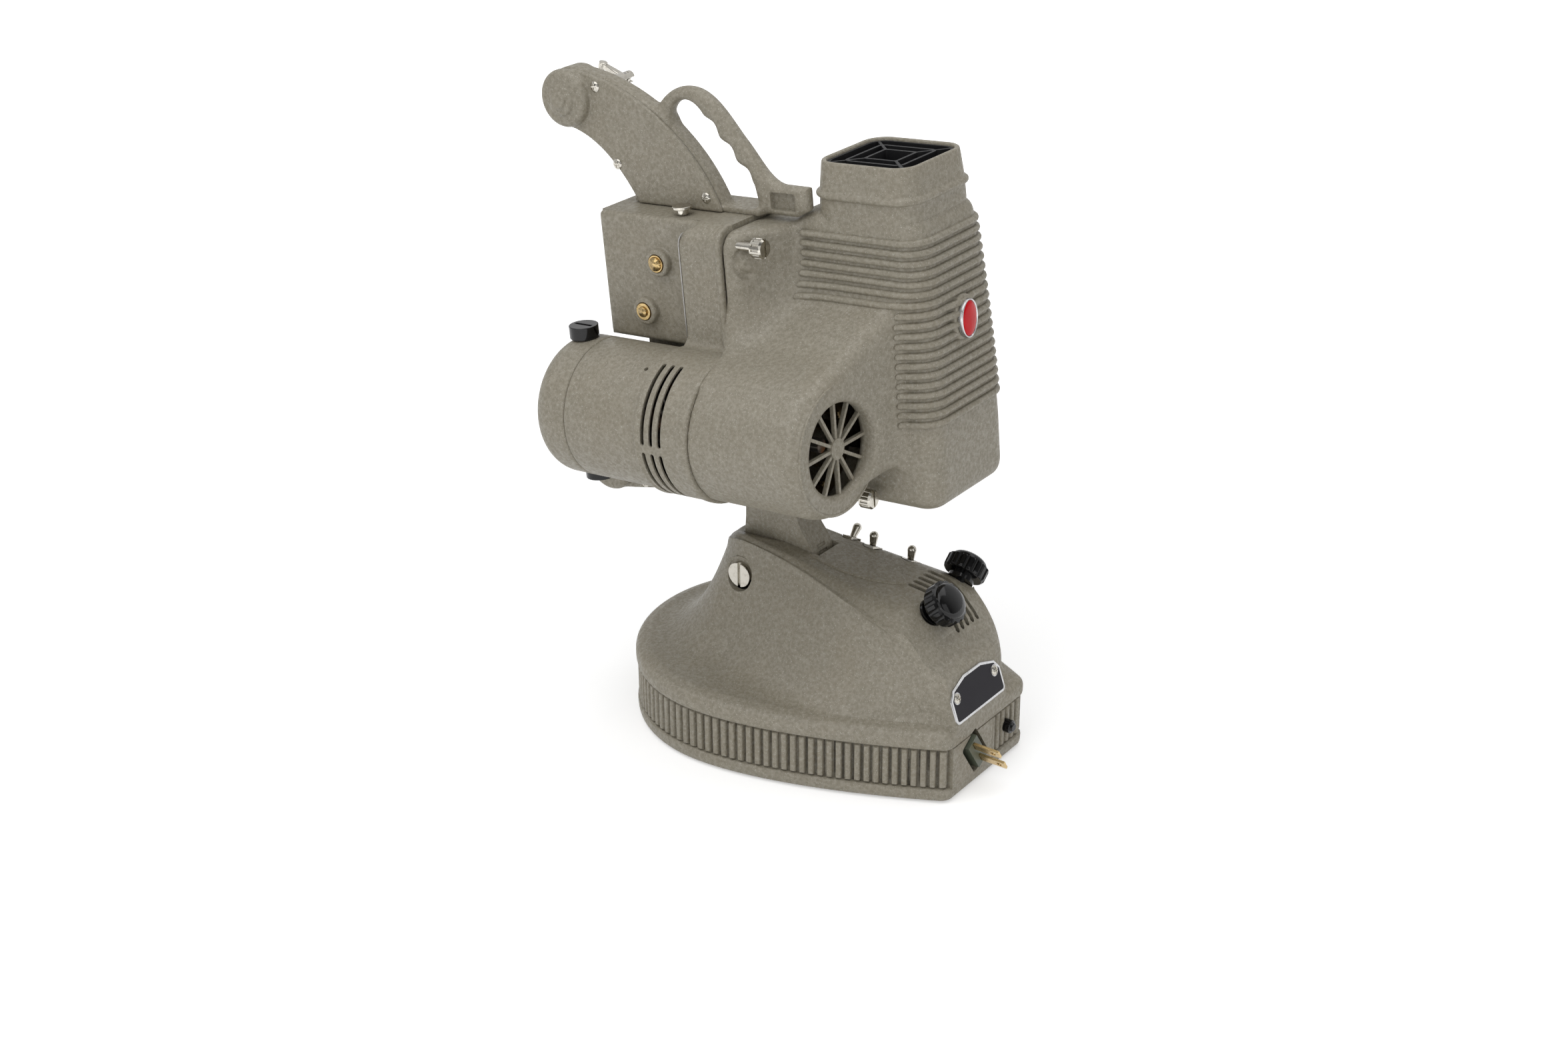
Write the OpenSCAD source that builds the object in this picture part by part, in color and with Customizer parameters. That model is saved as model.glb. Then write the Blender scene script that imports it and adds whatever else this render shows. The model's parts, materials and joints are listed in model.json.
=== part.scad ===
// Eight millimetre film projector: a tilting head on a cast base with a cord reel.
// The nose with the lens points to -X, the lamp house stands at the +X end, the motor
// hangs on the -Y side and the film runs on the +Y side. Z = 0 is the table.

/* [Base] */
// Half width of the base at its widest place
base_half_w = 88.5; // [80:0.5:100]
// Length from the widest place to the rear face
base_rear_l = 146; // [125:1:170]
// Length from the widest place to the round front
base_front_l = 88.5; // [75:0.5:100]
// Half width of the flat rear face, corners included
rear_half_w = 44; // [38:1:50]
// Height of the ledge over the fin band
ledge_z = 46; // [42:1:52]
// Height of the top panel at its rear end
top_rear_z = 107; // [100:1:115]
// Wall of the base casting
base_wall = 3.5; // [2.5:0.5:5]
// Pitch of the upright fins
fin_pitch = 5.4; // [4.5:0.1:8]
// Depth of the upright fins
fin_depth = 2; // [1:0.1:2.4]

/* [Tilt] */
// Nose-down tilt of the head as shown, in degrees
head_tilt = 5; // [-10:0.5:7]
// Height of the tilt axis
pivot_z = 95; // [90:1:100]
// Radius of the pivot screw's shank
pivot_r = 5; // [4:0.5:6]
// Thickness of the neck arm
neck_t = 20; // [16:1:24]
// Radius of the neck's round rear edge about the tilt axis
neck_r = 45; // [38:1:48]

/* [Controls] */
// Diameter of the fluted knobs
knob_d = 26; // [20:1:30]
// Radius of the knob shafts
knob_shaft_r = 3; // [2.5:0.25:4]
// Length of a toggle lever above its bush
toggle_l = 9.5; // [8:0.5:14]
// Travel of the cord release button
button_travel = 2.5; // [1:0.5:4]

/* [Motor] */
// Outer radius of the motor barrel
motor_r = 40.5; // [36:0.5:43]
// Wall of the barrel and of its end cap
motor_wall = 2.5; // [2:0.5:4]
// Length of the end cap
cap_l = 27; // [22:1:32]
// Radius of the motor shaft
shaft_r = 4; // [3:0.5:5]
// Width of a vent slot
vent_w = 2.6; // [2:0.2:3]

/* [Case] */
// Width of the gear case along X
case_w = 94; // [88:1:100]
// Height of the gear case's top face
case_top_z = 314; // [308:1:320]
// Wall of the gear case
case_wall = 3; // [2.5:0.5:4]
// Thickness of the reel arms' castings
arm_t = 12; // [10:1:14]
// Thickness of the arm cover plates
arm_plate_t = 3; // [2:0.5:4]
// Thickness of the carrying handle
handle_t = 10; // [8:1:12]

/* [Lamp house] */
// Side of the square chimney collar
collar_w = 62; // [56:1:66]
// Height of the chimney's rim
rim_z = 346; // [340:1:352]
// Count of the cooling ribs
rib_count = 19; // [12:1:20]
// Height of a rib above the wall
rib_h = 2.2; // [1.5:0.1:2.6]
// Wall of the lamp house casting
lamp_wall = 3; // [2.5:0.5:4]
// Radius of the blower's air inlet
inlet_r = 29; // [24:0.5:31]
// Count of the inlet's spokes
spoke_count = 12; // [8:1:16]

/* [Film path] */
// Distance of the film's centre line from the base's centre plane
film_y = 24; // [23:0.5:26]
// Height of the optical axis
optic_z = 252; // [250:1:254]
// Radius of the lens barrel
lens_r = 12; // [10:0.5:13]
// Radius of a reel spindle
spindle_r = 3.9; // [3.5:0.1:4.1]
// Teeth on a film sprocket
sprocket_teeth = 12; // [8:1:16]

/* [Hidden] */
$fn = 48;
// The part of a reel spindle that runs in its arm
bearing_r = spindle_r - 0.4;
// Clearance between parts that move or that are set into each other
gap = 0.3;
// Radial clearance of a shaft that turns in its bore
run_gap = 0.05;
// Place of the base's own centre in the frame, which puts the origin under the middle
origin_x = 41.044;
origin_y = 6.5;
// Widest place of the base
widest_x = -45;
rear_x = widest_x + base_rear_l;
front_x = widest_x - base_front_l;
band_low_z = 9;
band_top_z = ledge_z - 11;
pivot_x = -56.5;
// Planes of the head, across the projector
case_near_y = -34;
case_back_y = -18;
case_far_y = 14;
cover_y = -38;
raised_y = -48;
motor_y = -60;
motor_z = 204;
motor_end_x = -115;
ring_low_x = -62;
ring_high_x = -25.3;
blower_low_x = -25;
blower_high_x = 48;
case_low_x = -127;
case_high_x = case_low_x + case_w;
case_low_z = 152;
case_step_z = 239;
upper_shaft = [-83.4, 288.4];
cam_axis = [-96, 258.7];
lower_shaft = [-83.4, 229];
gate_x = -112;
tower_low_x = -8;
tower_x = 35;
tower_y = film_y;
tower_low_z = 152;
rib_low_z = 205;
rib_high_z = 306;
collar_low_z = 318;
supply_axis = [-158.5, 372.5];
take_up_axis = [-155, 147.5];
drum_r = 17.2;

// Frames

// Puts a piece of the base in the frame
module based() {
    translate([origin_x, origin_y, 0]) children();
}
// Puts a piece of the head in the frame, turned about the tilt axis
module headed() {
    translate([origin_x + pivot_x, origin_y, pivot_z]) rotate([0, -head_tilt, 0])
        translate([-pivot_x, 0, -pivot_z]) children();
}
// Turns a shape drawn upright so that its axis runs along +X from a point
module along_x(p) {
    translate(p) rotate([0, 90, 0]) children();
}
// Turns a shape drawn upright so that its axis runs along +Y from a point
module along_y(p) {
    translate(p) rotate([-90, 0, 0]) children();
}
// A cylinder along Y between two planes
module y_rod(axis, y0, y1, r) {
    along_y([axis[0], y0, axis[1]]) cylinder(h = y1 - y0, r = r);
}
// A cylinder along X between two planes
module x_rod(x0, x1, y, z, r) {
    along_x([x0, y, z]) cylinder(h = x1 - x0, r = r);
}
// A flat shape drawn in X and Z, given a thickness between two planes across Y
module y_slab(y0, y1) {
    translate([0, y1, 0]) rotate([90, 0, 0]) linear_extrude(height = y1 - y0) children();
}
// A box between two corners
module span(a, b) {
    translate(a) cube(b - a);
}

// Curves

function mix(a, b, t) = a + (b - a) * t;
function clamp(v, a, b) = min(max(v, a), b);
// Points along a cubic curve, without its last point
function bez(p0, p1, p2, p3, n) = [for (i = [0:n - 1]) let (t = i / n, s = 1 - t)
    s * s * s * p0 + 3 * s * s * t * p1 + 3 * s * t * t * p2 + t * t * t * p3];
// Points of an arc from angle a to angle b, both ends included
function arc(c, r, a, b, n) = [for (i = [0:n]) let (q = mix(a, b, i / n))
    [c[0] + r * cos(q), c[1] + r * sin(q)]];
// A rounded square about a centre, from the near side round by the rear
function round_rect(cx, cy, hx, hy, r, n = 5) = concat(
    arc([cx + hx - r, cy - hy + r], r, -90, 0, n), arc([cx + hx - r, cy + hy - r], r, 0, 90, n),
    arc([cx - hx + r, cy + hy - r], r, 90, 180, n), arc([cx - hx + r, cy - hy + r], r, 180, 270, n));
// A solid through rings of equal count, the first one lowest. It is closed flat at the
// bottom, and flat or up to a peak at the top.
module loft(rings, peak = [], foot = []) {
    n = len(rings[0]);
    m = len(rings);
    points = [for (ring = rings, p = ring) p];
    polyhedron(points = concat(points, len(peak) == 3 ? [peak] : [], len(foot) == 3 ? [foot] : []),
        faces = concat(
            len(foot) == 3 ? [for (i = [0:n - 1]) [(i + 1) % n, m * n + 1, i]] : [[for (i = [0:n - 1]) i]],
            [for (k = [0:m - 2], i = [0:n - 1]) let (j = (i + 1) % n)
                [k * n + i, (k + 1) * n + i, (k + 1) * n + j]],
            [for (k = [0:m - 2], i = [0:n - 1]) let (j = (i + 1) % n)
                [k * n + i, (k + 1) * n + j, k * n + j]],
            len(peak) == 3 ? [for (i = [0:n - 1]) [(m - 1) * n + i, m * n, (m - 1) * n + (i + 1) % n]] :
                [[for (i = [n - 1:-1:0]) (m - 1) * n + i]]));
}

// Base outlines

// Half of a plan outline from the middle of the rear to the middle of the front
function half_plan(xr, wr, rc, slope, xw, w, xf) = let (
    beta = atan2(1, slope),
    c = [xr - rc, wr - rc],
    e = c + rc * [cos(beta), sin(beta)],
    d = [-1, slope] / norm([1, slope]))
    concat([[xr, 0], [xr, (wr - rc) / 2]], arc(c, rc, 0, 0.75 * beta, 3),
        bez(e, e + 0.32 * (xr - xw) * d, [mix(xw, xr, 0.3), w], [xw, w], 11),
        bez([xw, w], [mix(xw, xf, 0.552), w], [xf, w * 0.552], [xf, 0], 9), [[xf, 0]]);
// The whole outline, mirrored over the centre plane, running anticlockwise seen from above
function whole_plan(half) = concat(half, [for (i = [len(half) - 2:-1:1]) [half[i][0], -half[i][1]]]);
// The base outline moved outwards by o
function base_plan(o) = whole_plan(half_plan(rear_x + min(o, 1), rear_half_w + o, 8 + max(o, -4),
    0.53, widest_x, base_half_w + o, front_x - o));
// The outline of the shoulder, narrow at the neck and wide at the rear
function shoulder_plan(o) = whole_plan(half_plan(rear_x - 24 + o, 39 + o, 21 + max(o, -8), -0.2,
    pivot_x + 4, 22.5 + o, pivot_x - 22.5 - o));
// The outline of the flat top panel inside the shoulder
function top_plan(o) = whole_plan(half_plan(rear_x - 42 + o, 21 + o, 14 + max(o, -8), 0,
    pivot_x + 6, 19.5 + o, pivot_x - 15 - o));
// Height of the ridge, which falls away over the nose
function top_z(x) = top_rear_z + 0.112 * (45 - x) - 13 * pow(clamp((pivot_x + 2 - x) / 24, 0, 1), 1.5);
// Height of the shoulder: it drops outwards, and more at the rear
function shoulder_z(p) = top_z(p[0]) - 2 - 0.3 * max(abs(p[1]) - 20, 0) - 1.1 * max(p[0] - rear_x + 35, 0);
// Height of the flank, from 0 at the ledge to 1 at the shoulder, at a share s inwards.
// It is hollow at the front and round at the sides, and steep over a shelf at the rear.
function flank(s, x) = let (
    shelf = 0.2 * clamp((x - 55) / 35, 0, 1),
    p = x < widest_x ? mix(4, 2.5, clamp((widest_x - x) / 70, 0, 1)) :
        x < 30 ? mix(4, 1.3, pow((x - widest_x) / (30 - widest_x), 0.6)) :
        mix(1.3, 0.42, clamp((x - 30) / 62, 0, 1)))
    0.5 * min(s, shelf) + (1 - 0.5 * shelf) * pow(max(s - shelf, 0) / (1 - shelf), p);
// One ring of the body between the ledge and the shoulder
function body_ring(u, o) = let (low = base_plan(o - 7), high = shoulder_plan(o))
    [for (i = [0:len(low) - 1]) let (
        rear = clamp((low[i][0] - 20) / 75, 0, 1),
        s = pow(u, mix(1, 1.9, rear)),
        q = mix(low[i], high[i], s))
        [q[0], q[1], mix(ledge_z + 1.4 + o / 2, shoulder_z(high[i]) + o, flank(s, low[i][0]))]];
// A level ring of the base outline
function flat_ring(z, o) = [for (p = base_plan(o)) [p[0], p[1], z]];
// A ring on the rounding between the shoulder and the top panel
function crown_ring(t, o) = let (a = shoulder_plan(o), b = top_plan(o)) [for (i = [0:len(a) - 1])
    let (q = mix(a[i], b[i], t)) [q[0], q[1], mix(shoulder_z(a[i]), top_z(b[i][0]), sin(90 * t)) + o]];
function body_peak(o) = [-10, 0, top_z(-10) + o + 0.3];
function body_rings(o) = concat([for (k = [0:11]) body_ring(k / 11, o)],
    [for (t = [0.3, 0.65, 1]) crown_ring(t, o)]);
// Length along the outline up to each of its points
function run_sums(p, i = 0, s = 0) = i == len(p) ? [s] :
    concat([s], run_sums(p, i + 1, s + norm(p[(i + 1) % len(p)] - p[i])));
// Height of a half round fin at a place along the band, 0 in the groove
function fin(s) = let (t = abs((s / fin_pitch - floor(s / fin_pitch)) - 0.5) / 0.36)
    t >= 1 ? 0 : sqrt(1 - t * t);
// The outline of the fin band, sampled six times in each pitch
function band_plan() = let (
    p = base_plan(-fin_depth), sums = run_sums(p), n = len(p),
    total = sums[n], count = floor(total / fin_pitch) * 6)
    [for (i = [0:count - 1]) let (
        s = total * i / count,
        k = max([for (j = [0:n - 1]) sums[j] <= s ? j : 0]),
        a = p[k], b = p[(k + 1) % n],
        t = (s - sums[k]) / max(sums[k + 1] - sums[k], 0.001),
        d = (b - a) / max(norm(b - a), 0.001),
        f = fin_depth * fin(s * fin_pitch * count / (6 * total)))
        mix(a, b, t) + f * [d[1], -d[0]]];

// Base

neck_half = neck_t / 2;
speed_axis = [64.5, -10, 98.5];
speed_turn = 50;
tilt_axis = [60, 24, 94];
tilt_turn = 51;
toggle_places = [[-11.7, 24], [3.8, 24], [28.1, 28]];
toggle_throw = 17;
toggle_lean = 28;
button_place = [22, 22];
plug_place = [-14, 23];
plug_turn = 34;
plug_size = [20, 22, 10];
reel_r = 27;
label_screw_y = 20;
reel_place = [-22, plug_place[0] - reel_r - 3.3];
knob_cut_r = knob_shaft_r + run_gap;

// Puts a knob's upright shape on the rear slope
module on_speed_axis() {
    translate(speed_axis) rotate([0, speed_turn, 0]) children();
}
// Puts a knob's upright shape on the far shoulder
module on_tilt_axis() {
    translate(tilt_axis) rotate([-tilt_turn, 0, 0]) children();
}
// Puts an upright toggle shape in one of the three switch places
module on_toggle(i) {
    p = toggle_places[i];
    translate([p[0], p[1], shoulder_z(p) - 1]) rotate([-toggle_lean, 0, 0]) children();
}
// Puts a shape drawn about the plug's middle in its recess, pins along +X
module on_plug() {
    translate([rear_x, plug_place[0], plug_place[1]]) rotate([plug_turn, 0, 0]) children();
}

module base_shell() {
    color("#6b675a") based() difference() {
        union() {
            loft(concat([flat_ring(1.2, -1), flat_ring(2.5, 0), flat_ring(band_low_z - 0.7, 0.6),
                flat_ring(band_low_z, -fin_depth - 0.6), flat_ring(band_top_z, -fin_depth - 0.6),
                flat_ring(band_top_z + 0.8, 0.9), flat_ring(ledge_z - 5, 1), flat_ring(ledge_z - 2.4, 0.3),
                flat_ring(ledge_z - 0.5, -1.8), flat_ring(ledge_z + 0.6, -4.6)], body_rings(0)),
                body_peak(0), [0, 0, 1.2]);
            translate([0, 0, band_low_z - 0.5]) linear_extrude(height = band_top_z - band_low_z + 1)
                polygon(band_plan());
            // Plain panel round the plug recess and the leaning rest of the label
            span([rear_x - 8, -37, 3], [rear_x + 1, 5, ledge_z - 2]);
            y_slab(-36, 21) polygon([[rear_x - 26, ledge_z - 4], [rear_x + 1, ledge_z - 4],
                [rear_x + 1, ledge_z + 3], [rear_x - 8, ledge_z + 29], [rear_x - 12, ledge_z + 31],
                [rear_x - 26, ledge_z + 31]]);
            // Bosses for the pivot screw
            y_rod([pivot_x, pivot_z], -25, 25, 11);
        }
        loft(concat([flat_ring(-1, -base_wall - 2), flat_ring(ledge_z - 6, -base_wall - 2)],
            body_rings(-base_wall)), body_peak(-base_wall), [0, 0, -1]);
        // Slot for the neck arm
        span([pivot_x - 10, -neck_half - gap, 60], [pivot_x + neck_r + 1, neck_half + gap, 140]);
        y_rod([pivot_x, pivot_z], -60, 60, pivot_r + run_gap);
        y_rod([pivot_x, pivot_z], -60, -25 + gap, 9.5);
        y_rod([pivot_x, pivot_z], 25 - gap, 60, 9.5);
        on_speed_axis() translate([0, 0, -30]) cylinder(h = 60, r = 5.05);
        on_speed_axis() translate([0, 0, 2.7]) cylinder(h = 20, r = 9);
        on_tilt_axis() translate([0, 0, -30]) cylinder(h = 60, r = knob_cut_r);
        on_tilt_axis() translate([0, 0, 10.7]) cylinder(h = 20, r = 9);
        for (i = [0:2]) on_toggle(i) {
            translate([0, 0, -20]) cylinder(h = 40, r = 5 + gap);
            translate([0, 0, 1.3]) cylinder(h = 20, r = 7.2);
        }
        // Five vent slots that follow the shoulder
        for (i = [0:4]) span([45, 0.5 + 5.2 * i, 80], [79, 2.3 + 5.2 * i, 130]);
        // Plug recess, button hole
        on_plug() span([-24, -8.5, -13], [10, 8.5, 13]);
        x_rod(rear_x - 20, rear_x + 10, button_place[0], button_place[1], 4 + run_gap);
        // Rebate for the base plate
        translate([0, 0, -1]) linear_extrude(height = 4) polygon(base_plan(-base_wall));
    }
}
module base_plate() {
    color("#3a3a38") based() difference() {
        union() {
            translate([0, 0, 1.3]) linear_extrude(height = 1.5) polygon(base_plan(-base_wall - gap));
            // Axle of the cord reel
            translate([reel_place[0], reel_place[1], 2]) cylinder(h = 42, r = 3);
        }
        for (x = [-90, 60], y = [-1, 1]) translate([x, y * (x < 0 ? 48 : 34), -1]) cylinder(h = 5, r = 2.5);
    }
}
module rubber_feet() {
    color("#1c1c1c") based() for (x = [-90, 60], y = [-1, 1]) translate([x, y * (x < 0 ? 48 : 34), 0])
        union() {
            cylinder(h = 1.25, r = 7);
            cylinder(h = 4, r = 2.4);
            translate([0, 0, 2.85]) cylinder(h = 1.3, r = 4);
        }
}
// Tilts a flat shape on to the leaning face that carries the label
module on_label() {
    translate([rear_x + 1.02, -9, ledge_z + 3]) rotate([0, -19.1, 0]) children();
}
module label_plate() {
    color("#26262b") based() on_label() difference() {
        rotate([90, 0, 90]) linear_extrude(height = 1) polygon(concat(arc([-23, 3], 3, 180, 270, 4),
            arc([23, 3], 3, 270, 360, 4),
            [[26, 14.5], [22, 20], [9, 24.2], [-9, 24.2], [-22, 20], [-26, 14.5]]));
        for (y = [-label_screw_y, label_screw_y]) translate([-1, y, 14.5])
            rotate([0, 90, 0]) cylinder(h = 4, r = 1.6);
    }
}
module label_screws() {
    color("silver") based() on_label() for (y = [-label_screw_y, label_screw_y]) translate([0, y, 14.5])
        rotate([0, 90, 0]) difference() {
            union() {
                translate([0, 0, 0.05]) cylinder(h = 1, r = 1.5);
                translate([0, 0, 1.05]) intersection() {
                    cylinder(h = 1.5, r = 3);
                    translate([0, 0, -3]) sphere(r = 4.4);
                }
            }
            translate([-0.35, -2, 1.7]) cube([0.7, 4, 2]);
            translate([-2, -0.35, 1.7]) cube([4, 0.7, 2]);
        }
}
module toggle_switches() {
    color("#c8c8c0") based() for (i = [0:2]) on_toggle(i) difference() {
        union() {
            translate([0, 0, -13]) cylinder(h = 16, r = 5);
            translate([0, 0, 1.5]) cylinder(h = 1.6, r = 6.5, $fn = 6);
            translate([-4.5, -4.5, -18]) cube([9, 9, 9]);
        }
        translate([0, 0, -7]) cylinder(h = 30, r = 3.6);
    }
}
// A ball-ended lever that rocks about its own X axis
module toggle_lever(i) {
    color("#d8d8d4") based() on_toggle(i) rotate([i == 0 ? -toggle_throw : toggle_throw, 0, 0]) union() {
        sphere(r = 3);
        cylinder(h = toggle_l, r1 = 1.5, r2 = 2.7);
        translate([0, 0, toggle_l]) sphere(r = 2.75);
    }
}
module lamp_toggle() {
    toggle_lever(0);
}
module motor_toggle() {
    toggle_lever(1);
}
module pilot_toggle() {
    toggle_lever(2);
}
module rheostat() {
    color("#7a5a3a") based() on_speed_axis() difference() {
        union() {
            translate([0, 0, -24]) cylinder(h = 8, r = 14);
            translate([0, 0, -16]) cylinder(h = 18.6, r = 5);
        }
        translate([0, 0, -30]) cylinder(h = 40, r = knob_cut_r);
    }
}
// A domed knob with a fluted skirt on a flanged hub, its face towards +Z
module fluted_knob(hub_h) {
    difference() {
        union() {
            cylinder(h = hub_h, r = 5.5);
            cylinder(h = 2, r = knob_d * 0.31);
            rotate_extrude() polygon(concat([[0, hub_h], [knob_d / 2 - 2.5, hub_h]],
                arc([knob_d / 2 - 2.5, hub_h + 2], 2.5, -60, 0, 3), [[knob_d / 2, hub_h + 8]],
                [for (i = [0:8]) let (q = 90 * i / 8) [knob_d * 0.42 * cos(q), hub_h + 9 + 4.5 * sin(q)]]));
        }
        for (i = [0:15]) rotate([0, 0, i * 22.5]) translate([knob_d / 2 + 0.5, 0, hub_h - 1])
            cylinder(h = 11, r = 1.6, $fn = 16);
    }
}
module speed_knob() {
    color("#111111") based() on_speed_axis() translate([0, 0, 3.2]) union() {
        fluted_knob(8);
        translate([0, 0, -26]) cylinder(h = 27, r = knob_shaft_r);
    }
}
module tilt_knob() {
    color("#111111") based() on_tilt_axis() translate([0, 0, 11]) union() {
        fluted_knob(4);
        translate([0, 0, -32]) cylinder(h = 33, r = knob_shaft_r);
    }
}
module tilt_screw() {
    color("#b5a06a") based() on_tilt_axis() translate([0, 0, -19]) difference() {
        cylinder(h = 11, r = 5.5);
        translate([0, 0, -1]) cylinder(h = 13, r = knob_shaft_r + 0.02);
        for (i = [0:11]) rotate([0, 0, 30 * i]) translate([5.9, 0, -1]) cylinder(h = 13, r = 1.1, $fn = 16);
    }
}
module pivot_screw() {
    color("#cfc8b4") based() difference() {
        union() {
            y_rod([pivot_x, pivot_z], -25, 26, pivot_r);
            y_rod([pivot_x, pivot_z], -28, -25 + gap, 7.8);
            along_y([pivot_x, 25 - gap, pivot_z]) cylinder(h = 4, r = 8, $fn = 6);
        }
        span([pivot_x - 0.9, -29, pivot_z - 9], [pivot_x + 0.9, -26.4, pivot_z + 9]);
    }
}
module cord_reel() {
    color("#9a9a90") based() translate([reel_place[0], reel_place[1], 3.1]) difference() {
        union() {
            cylinder(h = 1.2, r = reel_r + 5);
            cylinder(h = 40, r = 14);
            translate([0, 0, 38.8]) cylinder(h = 1.2, r = reel_r + 5);
        }
        translate([0, 0, -1]) cylinder(h = 50, r = 3 + run_gap);
    }
}
module wound_cord() {
    color("#57604f") based() translate([reel_place[0], reel_place[1], 6]) difference() {
        cylinder(h = 30, r = reel_r);
        translate([0, 0, -1]) cylinder(h = 40, r = 14.2);
    }
}
module plug_body() {
    color("#5f6a55") based() on_plug() difference() {
        union() {
            span([-16, -plug_size[2] / 2, -plug_size[1] / 2], [3, plug_size[2] / 2, plug_size[1] / 2]);
            along_x([-22, 0, 0]) cylinder(h = 7, r1 = 3.4, r2 = 4.6);
        }
        for (z = [-6.35, 6.35]) span([-1, -0.85, z - 3.3], [4, 0.85, z + 3.3]);
        along_x([-23, 0, 0]) cylinder(h = 8.2, r = 3);
    }
}
module plug_blades() {
    color("#b49a5a") based() on_plug() for (z = [-6.35, 6.35]) difference() {
        span([-0.9, -0.75, z - 3.2], [19.5, 0.75, z + 3.2]);
        y_rod([15.5, z], -3, 3, 1.6);
    }
}
module cord_tail() {
    color("#57604f") based() on_plug() along_x([-120, 0, 0]) cylinder(h = 105, r = 2.9);
}
module release_button() {
    color("#151515") based() union() {
        x_rod(rear_x - 18, rear_x + 4, button_place[0], button_place[1], 4);
        x_rod(rear_x - 22, rear_x - 12, button_place[0], button_place[1], 5.6);
        along_x([rear_x + 4, button_place[0], button_place[1]]) cylinder(h = 1.5, r1 = 3, r2 = 2.4);
    }
}

// Neck and case

module neck_arm() {
    color("#6b675a") headed() difference() {
        union() {
            y_slab(-neck_half, neck_half) polygon(concat(arc([pivot_x, pivot_z], neck_r, -35, 37, 12),
                bez([pivot_x + neck_r * cos(37), pivot_z + neck_r * sin(37)], [-24, 130], [-26, 140],
                    [-30, case_low_z], 6), [[-30, case_low_z], [-61, case_low_z]],
                bez([-61, case_low_z], [-60, 136], [-60.5, 126], [-63.8, 114], 6),
                arc([pivot_x, pivot_z], 11, 140, 250, 8)));
            // Foot that bolts under the gear case
            span([-66, -16, case_low_z - 5], [-26, 12, case_low_z - 0.01]);
        }
        y_rod([pivot_x, pivot_z], -20, 20, pivot_r + run_gap);
        // Teeth of the tilt sector
        for (i = [0:11]) translate([pivot_x, 0, pivot_z]) rotate([0, 33 - 5 * i, 0])
            translate([neck_r, 0, 0]) rotate([90, 0, 0]) cylinder(h = 8, r = 1.1, center = true, $fn = 16);
    }
}
module gear_case() {
    color("#6b675a") headed() difference() {
        union() {
            gear_case_shell();
            // Pad behind the lens holder
            span([case_low_x + 1, 1, optic_z - 20], [gate_x + 6, case_far_y - 1, optic_z + 20]);
        }
        x_rod(gate_x - 40, gate_x - 6, film_y, optic_z, lens_r + 3.5 + run_gap);
        for (a = [upper_shaft, lower_shaft]) y_rod(a, case_far_y - 6, case_far_y + 2, 4 + run_gap);
        y_rod(cam_axis, case_far_y - 6, case_far_y + 2, 3 + run_gap);
        // Hole for the rewind knob's stem
        translate([-72.7, -28, case_top_z - 8]) cylinder(h = 12, r = 2 + run_gap);
    }
}
module gear_case_shell() {
    difference() {
        union() {
            span([case_low_x, case_near_y, case_step_z], [case_high_x, case_far_y, case_top_z]);
            span([-116, case_back_y, case_low_z], [case_high_x, case_far_y, case_step_z + 1]);
            // Flange behind the near cover
            span([case_low_x - 2, case_near_y, case_step_z], [case_high_x, case_near_y + 3, case_top_z - 4]);
            // Light tunnel on the film side
            span([gate_x + 6, case_far_y - 1, optic_z - 12], [case_high_x, film_y + 13, optic_z + 12]);
            // Front wall of the film side, which carries the gate
            span([gate_x + 1, case_far_y - 1, optic_z - 28], [gate_x + 6.5, film_y + 13, optic_z + 28]);
        }
        span([case_low_x + case_wall, case_near_y - 1, case_step_z + case_wall],
            [case_high_x - case_wall, case_far_y - case_wall, case_top_z - case_wall]);
        span([-116 + case_wall, case_back_y + case_wall, case_low_z + case_wall],
            [case_high_x - case_wall, case_far_y - case_wall, case_step_z + 5]);
        span([gate_x + 9, case_far_y + 0.5, optic_z - 9], [case_high_x + 1, film_y + 10, optic_z + 9]);
        span([gate_x - 1, film_y - 3, optic_z - 2.5], [gate_x + 12, film_y + 3, optic_z + 2.5]);
    }
}
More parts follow.
